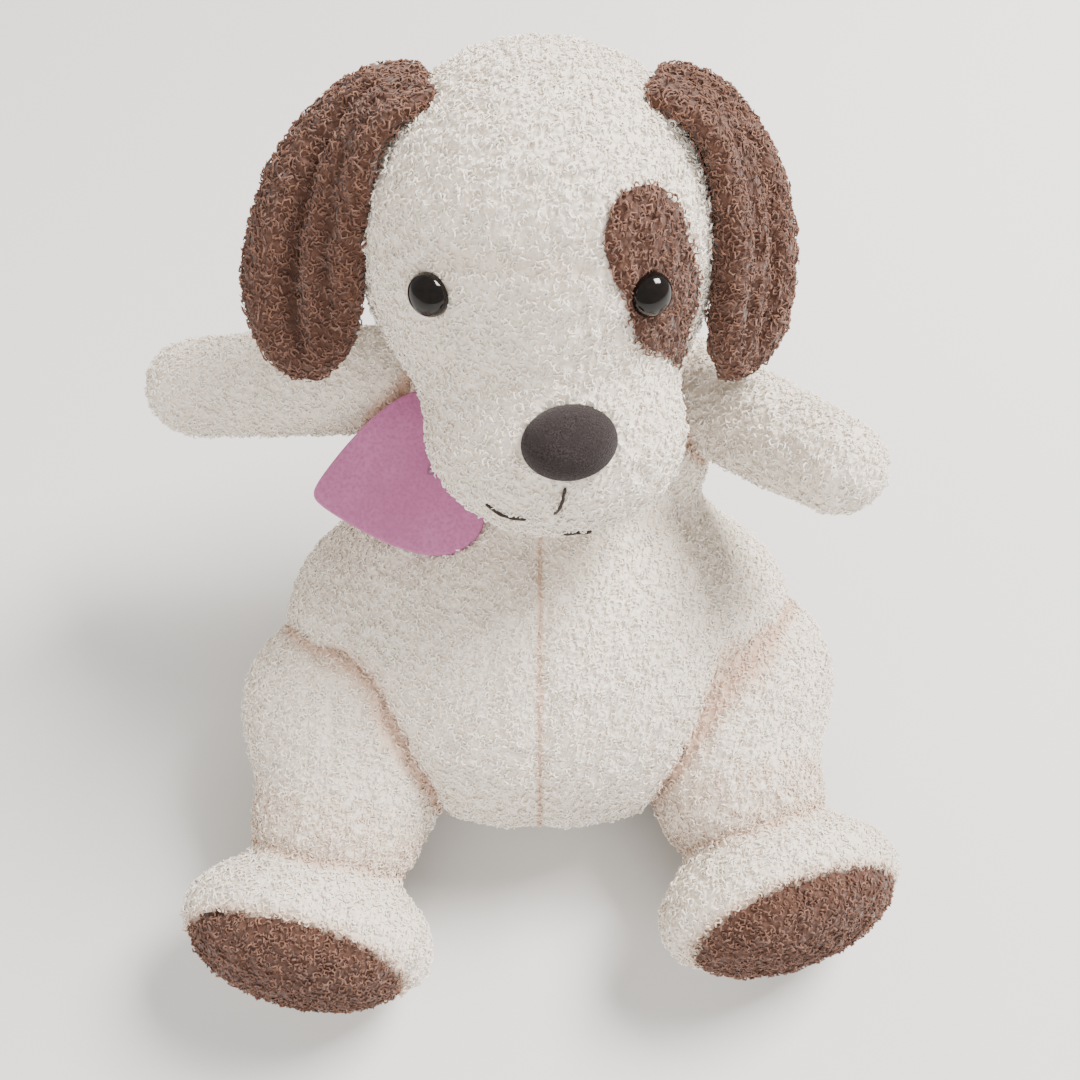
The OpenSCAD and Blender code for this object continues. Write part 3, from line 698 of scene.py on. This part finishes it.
feet, foot_field = {}, {}
for s in sides:
    def field(p, s=s):
        """An egg joined to a round cuff that hides the leg's end, with the sole's seam drawn in."""
        d = join(egg(foot_local(p, s), np.zeros(3), foot_size), length(p - ankle[s]) - cuff_r, 5 * mm)
        d = d + 1.2 * mm * near(leg_stub(p, s), 1.8 * mm) + 0.9 * mm * near(sole_side(p, s), 1.6 * mm)
        return -join(-d, -(0.5 * mm - p[..., 2]), 1.5 * mm)
    foot_field[s] = field
    feet[s] = wrap("foot_" + s, field, foot_at[s] - way(-90 + foot_turn[s], 0) * 5 * mm, 60 * mm, 120, 70)
    stuff(feet[s], seam=lambda p, s=s: near(sole_side(p, s), 2.2 * mm), voxel=2.0 * mm, cap=0.7 * mm, smooth=1)
print("feet at", {s: (foot_at[s] / mm).round(1).tolist() for s in sides})

# %% [markdown]
# ## Ears
# An ear is two long tongues of brown cloth sewn together with thin filling, so it is thick and rounded and
# folds along a soft groove. It starts in the seam at the top of the head, arches out and hangs.

# %% Ear forms
def smooth_path(knots, count):
    """A Catmull-Rom curve through rows of knots: on each span, a cubic that shares its slopes with the next."""
    k = np.asarray(knots, float)
    padded = np.vstack([2 * k[0] - k[1], k, 2 * k[-1] - k[-2]])
    t = np.linspace(0, len(k) - 1 - 1e-9, count)
    i = t.astype(int)
    f = (t - i)[:, None]
    a, b, c, d = (padded[i + n] for n in range(4))
    return 0.5 * (2 * b + (c - a) * f + (2 * a - 5 * b + 4 * c - d) * f ** 2 + (3 * b - a - 3 * c + d) * f ** 3)

def ear(name, side, knots, across, breadth, depth, groove):
    """A tongue: at each place of the path a flattened round of half breadth w and half depth h, with the
    outer face let in by two folds g exp(-((x - c) / s)^2), the deeper at x = 0.05 across it from -1 to 1."""
    seat = pivot["ear_flap_" + name[4:]]
    turn = np.array([side * -1, 1, 1.0])
    path = smooth_path(knots, 70) * mm
    wide = smooth_path(across, 70)
    w = smooth_path(np.array(breadth)[:, None], 70) * mm
    h = smooth_path(np.array(depth)[:, None], 70) * mm
    g = smooth_path(np.array(groove)[:, None], 70)
    along = np.gradient(path, axis=0)
    along /= length(along)[:, None]
    wide -= (wide * along).sum(1)[:, None] * along
    wide /= length(wide)[:, None]
    out = np.cross(wide, along)
    a = np.linspace(0, 2 * np.pi, 56, endpoint=False)
    x, z = np.sign(np.cos(a)) * np.abs(np.cos(a)) ** 0.9, np.sign(np.sin(a)) * np.abs(np.sin(a)) ** 0.85
    deep = 1 - g * (near(x - 0.05, 0.17) + 0.5 * near(x + 0.52, 0.13)) * (z > 0)
    rings = (path[:, None] + w[:, :, None] * x[None, :, None] * wide[:, None]
             + h[:, :, None] * (z[None] * deep)[:, :, None] * out[:, None])
    rings = seat + rings * turn
    folds[name] = [seat + turn * (path + w * c * wide + h * 0.5 * out) for c in (0.05, -0.52)]
    if side > 0:
        rings = rings[:, ::-1]
    skin = closed_skin(name, rings[:, ::-1], rings[0].mean(0), rings[-1].mean(0))
    return stuff(skin, voxel=1.25 * mm, cap=0.5 * mm, smooth=1, pressure=3.0)

folds = {}

def fold_gap(p, name):
    """Distance to the floor of an ear's two lengthwise folds."""
    d = np.full(len(p), 1.0)
    for line in folds[name]:
        for spot in line[4:-12]:
            d = np.minimum(d, length(p - spot))
    return d

ear_route = np.array([(0, 0, 0), (-8.4, -2.5, -0.9), (-15.4, -6, -6.2), (-20.6, -11, -13.8),
                      (-24, -16.5, -21.6), (-25.8, -21.5, -29), (-26.1, -25.5, -35), (-25.6, -29, -40),
                      (-24.5, -31, -44)])
ear_across = np.array([(0, 0.92, -0.38), (-0.15, 0.95, -0.25), (-0.4, 0.88, -0.15), (-0.65, 0.75, 0),
                       (-0.82, 0.55, 0), (-0.93, 0.35, 0), (-1, 0.2, 0), (-1, 0.15, 0), (-1, 0.1, 0)])
ear_breadth = [11.5, 12.6, 13.2, 13.4, 13.2, 12.6, 11.0, 8.2, 2.5]
ear_depth = np.array([2.4, 3.0, 3.9, 4.7, 4.8, 4.7, 4.4, 3.8, 1.8])
fold_depth = [0.4, 0.7, 0.95, 1.0, 1.0, 0.95, 0.8, 0.4, 0]
ear_spread, ear_twist = {"left": 0.72, "right": 1.0}, {"left": 0.55, "right": 1.0}
ears = {}
for s in ("right", "left"):
    knots = ear_route * np.stack([1 - (1 - ear_spread[s]) * np.arange(9) / 8, np.ones(9), np.ones(9)], 1)
    across = ear_across[0] + ear_twist[s] * (ear_across - ear_across[0])
    ears[s] = ear("ear_" + s, sides[s], knots, across, ear_breadth, ear_depth, fold_depth)
print("ears", [len(e.data.vertices) for e in ears.values()])

# %% Puff up every skin
puff_up()

# %% [markdown]
# ## Pile on the body and head
# The loops are thinned out along the seams, where the stitching has trapped them. Skins and loops are
# tinted tan there: partly seam colour where the backing shows, partly painted crease shade.

# %% Seam closeness
def belly_crease(p):
    """Closeness to the middle seam of the belly."""
    return 0.8 * near(p[..., 0], 0.55 * mm) * (p[..., 1] < 12 * mm) * (p[..., 2] > 3 * mm)

def limb_crease_shade(p):
    """Closeness to the seams round the thighs and arms, used as painted crease shade. It fades out to the
    body's flush sides, where no crease shows.
    """
    d = np.full(p.shape[:-1], 1.0)
    for s in sides:
        d = np.minimum(d, np.abs(leg_stub(p, s, 26.4 * mm, 21 * mm)))
        d = np.minimum(d, np.abs(arm_stub(p, s, 12.2 * mm, 11.5 * mm)))
    inward = np.clip((56 * mm - np.abs(p[..., 0])) / (12 * mm), 0.15, 1)
    return 0.7 * inward * near(d, 1.3 * mm)

def body_crease(p):
    """The strongest of the seams on the body: tan seam colour and painted crease shade."""
    return np.maximum(belly_crease(p), limb_crease_shade(p))

def outside_limbs(p):
    """True where no thigh, arm or head hides the body's cloth."""
    clear = length(p - skull) > skull_r - 1.5 * mm
    for s in sides:
        clear &= leg_stub(p, s, 26 * mm, 21 * mm) > -1.2 * mm
        clear &= arm_stub(p, s, 12 * mm, 11.5 * mm) > -1 * mm
    return clear & (p[..., 2] > 0.9 * mm) & ((tag_field(p) > 0.5 * mm) | (scatter_value(p) > 0.8))

def scatter_value(p):
    """A fixed scatter from 0 to 1 by place, for thinning."""
    return np.abs(np.sin(p @ np.array([12989.8, 78233.1, 37719.3]))) % 1

def thin(crease, keep=lambda p: np.full(p.shape[:-1], True)):
    """Keeps most loops away from a crease, and few on it."""
    return lambda p: keep(p) & (scatter_value(p) > 0.8 * crease(p))

# The faint tint along the bridge of the nose is painted crease shade.
for skin, crease in ((body_skin, body_crease), (head_skin, lambda p: 0.2 * near(bridge_gap(p), 1.5 * mm))):
    dress(skin, crease, cream_backing_gap_shade)

# %% The brown patch round the left eye
eye_at = {s: skull + skull_r * head_way(34.8 * k, 19.5) for s, k in sides.items()}

def eye_frame(s):
    """Axes at an eye: down the face, across it, and out of it."""
    out = (eye_at[s] - skull) / np.linalg.norm(eye_at[s] - skull)
    across = np.cross([0, 0, 1.0], out)
    across /= np.linalg.norm(across)
    return np.cross(across, out), across, out

def patch_gap(p):
    """Signed distance to the patch's outline, laid flat on the face: two joined tapering rounds."""
    down, across, out = eye_frame("left")
    q = p - eye_at["left"]
    flat = np.stack([q @ down, q @ across], -1)
    d = stub(flat, in_mm(-9, 2), in_mm(5, 4), 8.5 * mm, 8 * mm)
    e = stub(flat, in_mm(5, 4), in_mm(16.5, 6.5), 8 * mm, 2.6 * mm)
    return np.where(q @ out > -14 * mm, join(d, e, 2 * mm), 1.0)

def off_patch(p):
    """True off the patch and off the eyes and nose."""
    clear = patch_gap(p) > 0.2 * mm
    for s in sides:
        clear &= length(p - eye_at[s]) > 3.6 * mm
    return clear & (length((p - nose_at) @ nose_axes.T / np.array([9.4, 7.2, 6]) / mm) > 0.95)

nose_way = head_way(10, 47)
nose_at = muzzle + nose_way / np.linalg.norm(nose_way / muzzle_r)
nose_side = np.cross([0, 0, 1.0], nose_way)
nose_side /= np.linalg.norm(nose_side)
nose_axes = np.stack([nose_side, np.cross(nose_way, nose_side), nose_way])
print("eyes", (eye_at["left"] / mm).round(1), "nose", (nose_at / mm).round(1))

# %% Cover the body and the head with loops
pile(body_skin, "torso", cream_yarn, seed=11, keep=thin(lambda p: 0.5 * body_crease(p), outside_limbs),
     crease=body_crease, parts=4)
# The head's loops are tinted faintly over the bridge of the nose: painted crease shade.
pile(head_skin, "head", cream_yarn, seed=12,
     keep=thin(lambda p: 0.6 * near(bridge_gap(p), 1.2 * mm), off_patch),
     crease=lambda p: 0.1 * near(bridge_gap(p), 1.6 * mm), parts=2)

# %% [markdown]
# The patch is a cut shape of brown cloth sewn flat on the face. It is a copy of the head's own skin inside
# the patch's outline, lifted by half a millimetre, so it follows the face exactly.

# %% The patch
def cut_from(skin, name, inside, lift):
    """A copy of the faces of a skin whose points all pass a test, moved out along the normals by lift."""
    points, tris, normals = arrays(skin)
    keep = inside(points)
    faces = tris[keep[tris].all(1)]
    used, index = np.unique(faces, return_inverse=True)
    return make(name, points[used] + normals[used] * lift, index.reshape(-1, 3))

def thicken(ob, thickness, offset):
    """Gives a cut sheet its thickness; offset 0 is both ways and -1 is inwards."""
    wall = ob.modifiers.new("wall", "SOLIDIFY")
    wall.thickness, wall.offset = thickness, offset
    baked(ob)

patch = cut_from(head_skin, "eye_patch_cloth", lambda p: patch_gap(p) < 0, 0.5 * mm)
thicken(patch, 0.6 * mm, 0)
dress(patch, None, brown_backing_gap_shade)

def patch_only(p):
    """Within the patch and off the eye."""
    return (patch_gap(p) < 0.3 * mm) & (length(p - eye_at["left"]) > 3.7 * mm)

face_copy = cut_from(head_skin, "eye_patch_base", lambda p: patch_gap(p) < 1.5 * mm, 0.7 * mm)
patch_loops = pile(face_copy, "head", brown_yarn, seed=21, keep=patch_only, radius=0.6 * mm)
bpy.data.objects.remove(face_copy)
patch_loops[0].name = "eye_patch_pile"
print("patch faces", len(patch.data.polygons))

# %% Cover the limbs
def off_body(p):
    """True where a limb stands out of the body."""
    return body_field(p) > -1.5 * mm

def root_crease(p, width=1.2 * mm):
    """Closeness to the seam where a limb leaves the body; as a tint, painted crease shade."""
    return near(body_field(p), width)

for s in sides:
    def off_both(p, s=s):
        return off_body(p) & (foot_field[s](p) > -0.8 * mm)
    # Limb roots, and legs where they meet the foot, are tinted tan: partly seam colour, partly painted crease
    # shade.
    def leg_crease_shade(p, s=s):
        return 0.6 * np.maximum(root_crease(p), near(foot_field[s](p), 1.2 * mm))
    for skin in (arms[s], legs[s]):
        dress(skin, lambda p: 0.8 * root_crease(p, 1.4 * mm), cream_backing_gap_shade)
    few = lambda p: 0.4 * root_crease(p, mm)
    pile(arms[s], "arm_" + s, cream_yarn, seed=31, keep=thin(few, off_body),
         crease=lambda p: 0.6 * root_crease(p))
    pile(legs[s], "leg_" + s, cream_yarn, seed=32, keep=thin(few, off_both), crease=leg_crease_shade)
print("limb piles done")

# %% Cut each foot into its upper and its sole
uppers, soles = {}, {}
for s in sides:
    # A foot is tinted tan along its sole seam and where the leg meets it: partly seam colour, partly painted
    # crease shade.
    def foot_crease_shade(p, s=s):
        return 0.6 * np.maximum(near(sole_side(p, s), 1.3 * mm), near(leg_stub(p, s), 1.2 * mm))
    def upper_open(p, s=s):
        """Above the floor, behind the sole's seam, and outside the leg and the foot's own hollow."""
        return ((p[..., 2] > 0.9 * mm) & (sole_side(p, s) > 0) & (leg_stub(p, s) > -0.8 * mm)
                & (foot_field[s](p) > -0.9 * mm))
    def sole_open(p, s=s):
        """Above the floor, in front of the sole's seam, and on the outside."""
        return ((p[..., 2] > 0.9 * mm) & (sole_side(p, s) < 0)
                & (egg(foot_local(p, s), np.zeros(3), foot_size) > -0.9 * mm))
    uppers[s] = cut_from(feet[s], "foot_upper_" + s, lambda p, s=s: sole_side(p, s) > -0.9 * mm, 0)
    soles[s] = cut_from(feet[s], "foot_sole_cloth_" + s, lambda p, s=s: sole_side(p, s) < 0.9 * mm, 0)
    for piece, crease, cloth in ((uppers[s], foot_crease_shade, cream_backing_gap_shade), (soles[s], None, brown_backing_gap_shade)):
        thicken(piece, 1.0 * mm, -1)
        dress(piece, crease, cloth)
    bpy.data.objects.remove(feet[s])
    pile(uppers[s], "foot_" + s, cream_yarn, seed=41, crease=foot_crease_shade, keep=upper_open)
    pile(soles[s], "foot_" + s, brown_yarn, spacing=0.98 * mm, seed=42, radius=0.52 * mm, keep=sole_open)
print("feet cut")

# %% Cover the ears and tail
for s in sides:
    # The ear's folds are tinted darker: painted shade in the grooves.
    in_fold_shade = lambda p, s=s: 0.75 * near(fold_gap(p, "ear_" + s), 1.5 * mm)
    dress(ears[s], in_fold_shade, brown_backing_gap_shade)
    pile(ears[s], "ear_" + s, brown_yarn, spacing=0.94 * mm, seed=51, radius=0.5 * mm, long=1.5, crease=in_fold_shade,
         keep=thin(in_fold_shade))
dress(tail_skin, None, brown_backing_gap_shade)
pile(tail_skin, "tail", brown_yarn, spacing=1.05 * mm, seed=61, keep=off_body)
dress(neck_skin, None, cream_backing_gap_shade)
print("ear and tail piles done")

# %% [markdown]
# ## Eyes and nose
# Safety eyes are turned domes of black plastic with a washer behind the cloth. The nose is the same kind of
# part, sprayed with flock: a velvet of tiny upright fibres that looks dark grey and takes a pale sheen.

# %% Turned dome
def dome(name, at, axes, rx, ry, profile, columns=56):
    """A turned form: profile rows (out, up) from the rim to the crown, scaled by rx and ry across."""
    out, up = profile[:, :1, None], profile[:, 1:, None]
    u = np.linspace(0, 2 * np.pi, columns, endpoint=False)
    rings = at + out * circle(u, rx * axes[0], ry * axes[1]) + up * axes[2]
    return closed_skin(name, rings[:-1], at + profile[0, 1] * axes[2], at + profile[-1, 1] * axes[2])

def cap_profile(rise, base, rows=16):
    """Rim to crown: (cos a to the power 0.92, base + rise sin a), with the rim turned in below."""
    a = np.linspace(0, np.pi / 2, rows)
    top = np.stack([np.cos(a) ** 0.92, base + rise * np.sin(a)], 1)
    under = np.array([[0.6, base - 0.6 * mm], [0.9, base - 0.5 * mm], [1.0, base - 0.2 * mm]])
    return np.vstack([under, top])

eye_domes = {}
gloss, tree, shader = finish("black polished plastic", Base_Color=(0.004, 0.003, 0.003, 1), Roughness=0.09,
                             Specular_IOR_Level=0.35)
haze = mottle(tree, 900.0, 2.0)
paint(tree, shader, ramp(tree, haze, 0.3, 0.7), (0.002, 0.002, 0.002), (0.007, 0.004, 0.003))
bumpy(tree, shader, mottle(tree, 260.0), 0.05, 0.0002)
for s in sides:
    down, across, out = eye_frame(s)
    eye_domes[s] = dome("eye_dome_" + s, eye_at[s] + 0.5 * mm * out, (across, np.cross(out, across), out),
                        4.0 * mm, 4.0 * mm, cap_profile(3.3 * mm, 0.3 * mm))
    eye_domes[s].data.materials.append(gloss)
print("eyes", [o.name for o in eye_domes.values()])

# %% Flocked nose
flock, tree, shader = finish("grey-brown flock", Roughness=1.0, Specular_IOR_Level=0.1, Sheen_Weight=0.14,
                             Sheen_Roughness=0.35, Sheen_Tint=(0.75, 0.72, 0.72, 1))
fine = mottle(tree, 3000.0, 3.0, 0.75)
blotch = mottle(tree, 420.0)
dark = blend_colours(tree, ramp(tree, fine, 0.32, 0.68), (0.007, 0.005, 0.005), (0.06, 0.048, 0.047))
paint(tree, shader, ramp(tree, blotch, 0.3, 0.75), dark, (0.03, 0.024, 0.024))
bumpy(tree, shader, fine, 0.9, 0.0004)
nose_dome = dome("nose_dome", nose_at - 0.1 * mm * nose_way, nose_axes, 8.7 * mm, 6.8 * mm,
                 cap_profile(5.4 * mm, 0.0, 22), 72)
nose_dome.data.materials.append(flock)
print("nose", len(nose_dome.data.vertices))

# %% [markdown]
# ## Stitching
# The mouth is three long stitches of dark thread: one down from the nose and one towards each corner. The
# thread is two plies twisted together, so each stitch is a tube whose section is a twisting figure of eight.

# %% Thread along a path
def thread(name, path, radius, taper=True):
    """Two-ply thread: at turn angle k round the path, the radius is r (0.74 + 0.26 |cos(k - s / twist)|)."""
    twist, columns = 0.9 * mm, 10
    path = np.asarray(path, float)
    along = np.gradient(path, axis=0)
    along /= length(along)[:, None]
    s = np.concatenate([[0], np.cumsum(length(np.diff(path, axis=0)))])
    guide = np.cross(along, [0.2, 0.3, 0.93])
    guide /= length(guide)[:, None]
    other = np.cross(along, guide)
    k = np.linspace(0, 2 * np.pi, columns, endpoint=False)
    r = radius * (0.74 + 0.26 * np.abs(np.cos(k[None] - s[:, None] / twist)))
    if taper:
        r *= np.minimum(1, 0.45 + 0.55 * np.minimum(s, s[-1] - s) / (1.2 * radius))[:, None]
    rings = path[:, None] + r[..., None] * circle(k, guide[:, None], other[:, None])
    return closed_skin(name, rings[:, ::-1], path[0], path[-1])

def on_face(spots, lift):
    """Points on the head's skin seen from the muzzle's middle in given directions, lifted by a distance."""
    graph = bpy.context.evaluated_depsgraph_get()
    hit = []
    for azimuth, elevation in spots:
        d = head_way(azimuth, elevation)
        _, place, normal, _ = head_skin.ray_cast(tuple(muzzle), tuple(d), distance=0.08, depsgraph=graph)
        hit.append(np.array(place) + lift * np.array(normal))
    return np.array(hit)

def thread_finish(name, light, deep):
    """Cotton thread: colour streaks along its plies and a fine bump."""
    mat, tree, shader = finish(name, Roughness=0.85, Specular_IOR_Level=0.3, Sheen_Weight=0.3)
    streak = mottle(tree, 2400.0, 2.0)
    paint(tree, shader, streak, deep, light)
    bumpy(tree, shader, streak, 0.5, 0.00015)
    return mat

mouth_thread = thread_finish("dark brown thread", (0.045, 0.028, 0.022), (0.012, 0.008, 0.007))
seam_thread = thread_finish("tan thread", (0.62, 0.44, 0.33), (0.42, 0.27, 0.19))
mouth = [((5, 24), (3.5, 18), (1.5, 13), (-1.5, 7)), ((-16, -2), (-23, -2.5), (-30, -0.5), (-37, 3.5)),
         ((4, -14), (10, -19), (16, -23), (22, -25))]
mouth_pieces = []
for number, (spots, lift) in enumerate(zip(mouth, (0.8 * mm, 0.45 * mm, 0.45 * mm))):
    fine_spots = smooth_path(spots, 40)
    stitch = thread("mouth_stitch_" + "abc"[number], on_face(fine_spots, lift), 0.36 * mm)
    stitch.data.materials.append(mouth_thread)
    mouth_pieces.append(stitch)
print("mouth stitches", len(mouth_pieces))

# %% Seam down the belly
def belly_front(z):
    """Front of the body at x = 0: the smallest y where the body field is negative, by halving."""
    ahead, within = np.full(len(z), -60 * mm), np.full(len(z), 14 * mm)
    for _ in range(22):
        y = (ahead + within) / 2
        out = body_field(np.stack([np.zeros(len(z)), y, z], -1)) > 0
        ahead, within = np.where(out, y, ahead), np.where(out, within, y)
    return ahead

heights = np.linspace(9, 76, 90) * mm
line = np.stack([0.12 * mm * np.sin(heights / (1.7 * mm)), belly_front(heights) - 0.1 * mm, heights], -1)
belly_thread = thread("belly_seam_thread", line, 0.42 * mm, taper=False)
belly_thread.data.materials.append(seam_thread)
print("belly seam", (line[[0, -1]] / mm).round(1).tolist())

# %% [markdown]
# ## The heart tag
# A stiff heart of pink grained leather-cloth hangs from a small steel ring, which hangs in a loop of thread
# sewn to the chest. Its edge is rounded over, and catches a pale line of light.

# %% Heart plate
def heart_outline(count=150):
    """A heart whose notch is near the origin and whose point is out along +x: a smooth closed path through
    the points of one half and their mirror images, divided evenly."""
    half = np.array([(6.0, 0), (3.0, 2.4), (0.2, 6.4), (-0.4, 10.8), (2.2, 15.4), (7.4, 17.9), (13.4, 17.2),
                     (19.6, 14.4), (25.2, 10.6), (30.6, 6.2), (34.6, 2.3), (35.7, 0)])
    ring = np.vstack([half, half[-2:0:-1] * [1, -1]])
    path = smooth_path(np.vstack([ring[-1:], ring, ring[:2]]), 4000)
    first = np.argmin(length(path[:800] - ring[0]))
    last = len(path) - 800 + np.argmin(length(path[-800:] - ring[0]))
    path = path[first:last]
    s = np.concatenate([[0], np.cumsum(length(np.diff(path, axis=0)))])
    even = np.linspace(0, s[-1], count, endpoint=False)
    return np.stack([np.interp(even, s, path[:, 0]), np.interp(even, s, path[:, 1])], 1)

outline = heart_outline() * mm + in_mm(-1.6, 0)
centre = in_mm(13, 0)
plate_half, bevel = 1.6 * mm, 0.7 * mm

def plate_rings():
    """Rings (outline, height) from the back of the plate, round its bevelled edge, to its face. The outline
    is drawn in towards the middle while the height follows the rounded edge."""
    inward = centre - outline
    reach = length(inward)[:, None]
    low = [(outline + inward * f, -plate_half) for f in (0.92, 0.75, 0.5, 0.25)]
    edge = [(outline + inward / reach * bevel * (1 - math.cos(a)),
             np.sign(round(a, 6)) * (plate_half - bevel) + bevel * math.sin(a))
            for a in np.linspace(-np.pi / 2, np.pi / 2, 11)]
    return low + edge + [(flat, plate_half) for flat, _ in reversed(low)]

def on_tag(flat, z):
    """Room coordinates of places given along and across the tag, at a height above its middle plane."""
    return tag_place + flat[..., :1] * tag_along + flat[..., 1:] * tag_across + z * tag_out

rings = np.stack([on_tag(flat, height) for flat, height in plate_rings()])
tag_plate = closed_skin("heart_plate", rings, on_tag(centre, -plate_half), on_tag(centre, plate_half))
pink, tree, shader = finish("pink grained leather-cloth", Roughness=0.42, Specular_IOR_Level=0.5,
                            Coat_Weight=0.15, Coat_Roughness=0.3)
grain = cells(tree, 1500.0, feature="SMOOTH_F1")
wrinkle = mottle(tree, 1100.0, 5.0, 0.65)
height = node(tree, "ShaderNodeMath", operation="ADD")
tree.links.new(grain, height.inputs[0])
tree.links.new(wrinkle, height.inputs[1])
broad = mottle(tree, 60.0, 2.0)
tone = blend_colours(tree, ramp(tree, broad, 0.3, 0.7), (0.38, 0.105, 0.235), (0.44, 0.135, 0.285))
paint(tree, shader, ramp(tree, height.outputs[0], 0.45, 1.15), (0.31, 0.085, 0.185), tone)
bumpy(tree, shader, height.outputs[0], 0.35, 0.00018)
tag_plate.data.materials.append(pink)
print("heart plate", len(tag_plate.data.vertices))

# %% Ring and thread loop
def hoop(name, at, axis_a, axis_b, radius, wire, start=0.0, turn=2 * np.pi, shut=True):
    """A round bar bent in a circle: c + R (cos u a + sin u b), and the wire's section round each place."""
    rows, around = 64, 12
    u = start + np.linspace(0, turn, rows, endpoint=not shut)
    k = np.linspace(0, 2 * np.pi, around, endpoint=False)
    out = circle(u, axis_a, axis_b)[:, None]
    rings = at + radius * out + wire * circle(k, out, np.cross(axis_a, axis_b))
    if shut:
        step = grid_faces(2, around)
        last = step % around + np.where(step < around, (rows - 1) * around, 0)
        return make(name, rings.reshape(-1, 3), np.vstack([grid_faces(rows, around), last])[:, ::-1])
    return closed_skin(name, rings[:, ::-1], rings[0].mean(0), rings[-1].mean(0))

steel = speckled("nickel-plated steel", (0.52, 0.51, 0.5), (0.7, 0.69, 0.68), 500.0, (3000.0, 0.15, 0.0001),
                 Base_Color=(0.62, 0.61, 0.6, 1), Metallic=1.0, Roughness=0.25)
ring_r = 4.2 * mm
ring = hoop("tag_ring_wire", tag_place + ring_r * tag_along, tag_along, tag_out, ring_r, 0.6 * mm,
            start=0.12, turn=2 * np.pi - 0.05, shut=False)
ring.data.materials.append(steel)
loop = hoop("tag_loop_thread", tag_place, tag_along, tag_across, 1.4 * mm, 0.45 * mm)
loop.data.materials.append(seam_thread)
print("ring and loop made")

# %% [markdown]
# ## Tie every piece to the body that it moves with
# Stitched cloth turns with its limb. Each visible skin stands for the solid pieces under it.

# %% Rides and stand-ins
def settle(piece, body, slot, *nodes):
    """Rides a piece on a body and hides the model's nodes that it stands for. The slot is not used."""
    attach(piece, body)
    if nodes:
        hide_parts(*nodes)

settle(body_skin, "torso", "cream_pile", "belly_panel_left", "belly_panel_right", "back_panel", "seat_panel",
       "torso_stuffing")
settle(belly_thread, "torso", "seam_thread", "belly_seam")
settle(head_skin, "head", "cream_pile", "head_gusset", "head_side_left", "head_side_right", "head_stuffing")
settle(neck_skin, "neck", "cream_pile", "neck_stuffing")
settle(patch, "head", "brown_pile", "eye_patch")
settle(nose_dome, "head", "nose_flock", "nose")
settle(mouth_pieces[0], "head", "mouth_thread", "mouth_stitch")
for piece in mouth_pieces[1:]:
    settle(piece, "head", "mouth_thread")
for s in sides:
    settle(eye_domes[s], "head", "eye_black", "eye_" + s)
    settle(ears[s], "ear_" + s, "brown_pile", "ear_outer_" + s, "ear_lining_" + s)
    settle(arms[s], "arm_" + s, "cream_pile", "arm_cover_" + s, "arm_stuffing_" + s)
    settle(legs[s], "leg_" + s, "cream_pile", "leg_cover_" + s, "leg_stuffing_" + s)
    settle(uppers[s], "foot_" + s, "cream_pile", "foot_cover_" + s, "foot_stuffing_" + s)
    settle(soles[s], "foot_" + s, "brown_pile", "foot_sole_" + s)
settle(tail_skin, "tail", "brown_pile", "tail_cover", "tail_stuffing")
settle(tag_plate, "tag", "tag_pink", "heart_tag")
settle(ring, "tag", "ring_steel", "tag_ring")
settle(loop, "torso", "seam_thread", "tag_loop")
for made, body in piles:
    for piece in made:
        settle(piece, body, "brown_pile" if piece.data.materials[0] == brown_yarn else "cream_pile")
print("pieces settled", len(piles))

# %% [markdown]
# ## Hidden hard parts
# The washers behind the eyes and nose and the bag of pellets stay as they are in the model. They get the
# finishes of moulded plastic and of a woven bag of beads.

# %% Washers and pellet bag
white = speckled("white moulded plastic", (0.78, 0.77, 0.74), (0.86, 0.85, 0.83), 800.0, (2200.0, 0.2, 0.0001),
                 Roughness=0.45)
beads, tree, shader = finish("bag of beads", Roughness=0.7)
bead = cells(tree, 330.0)
# The gaps between the beads are painted darker: painted shade.
paint(tree, shader, bead, (0.8, 0.79, 0.76), (0.5, 0.49, 0.47))
bumpy(tree, shader, bead, 1.0, -0.001)
for name, ob in frame["nodes"].items():
    if "washer" in name or name == "pellet_bag":
        ob.data.materials.clear()
        ob.data.materials.append(beads if name == "pellet_bag" else white)
print("hidden nodes finished")

# %% The floor
half = 1.6
corners = [(-half, -half, 0), (half, -half, 0), (half, half, 0), (-half, half, 0)]
floor = make("floor", corners, [(0, 1, 2, 3)], smooth=False)
paper, tree, shader = finish("pale floor", Roughness=0.85, Specular_IOR_Level=0.2)
paint(tree, shader, mottle(tree, 3.0, 2.0), (0.66, 0.65, 0.63), (0.70, 0.69, 0.67))
floor.data.materials.append(paper)
print("floor laid")
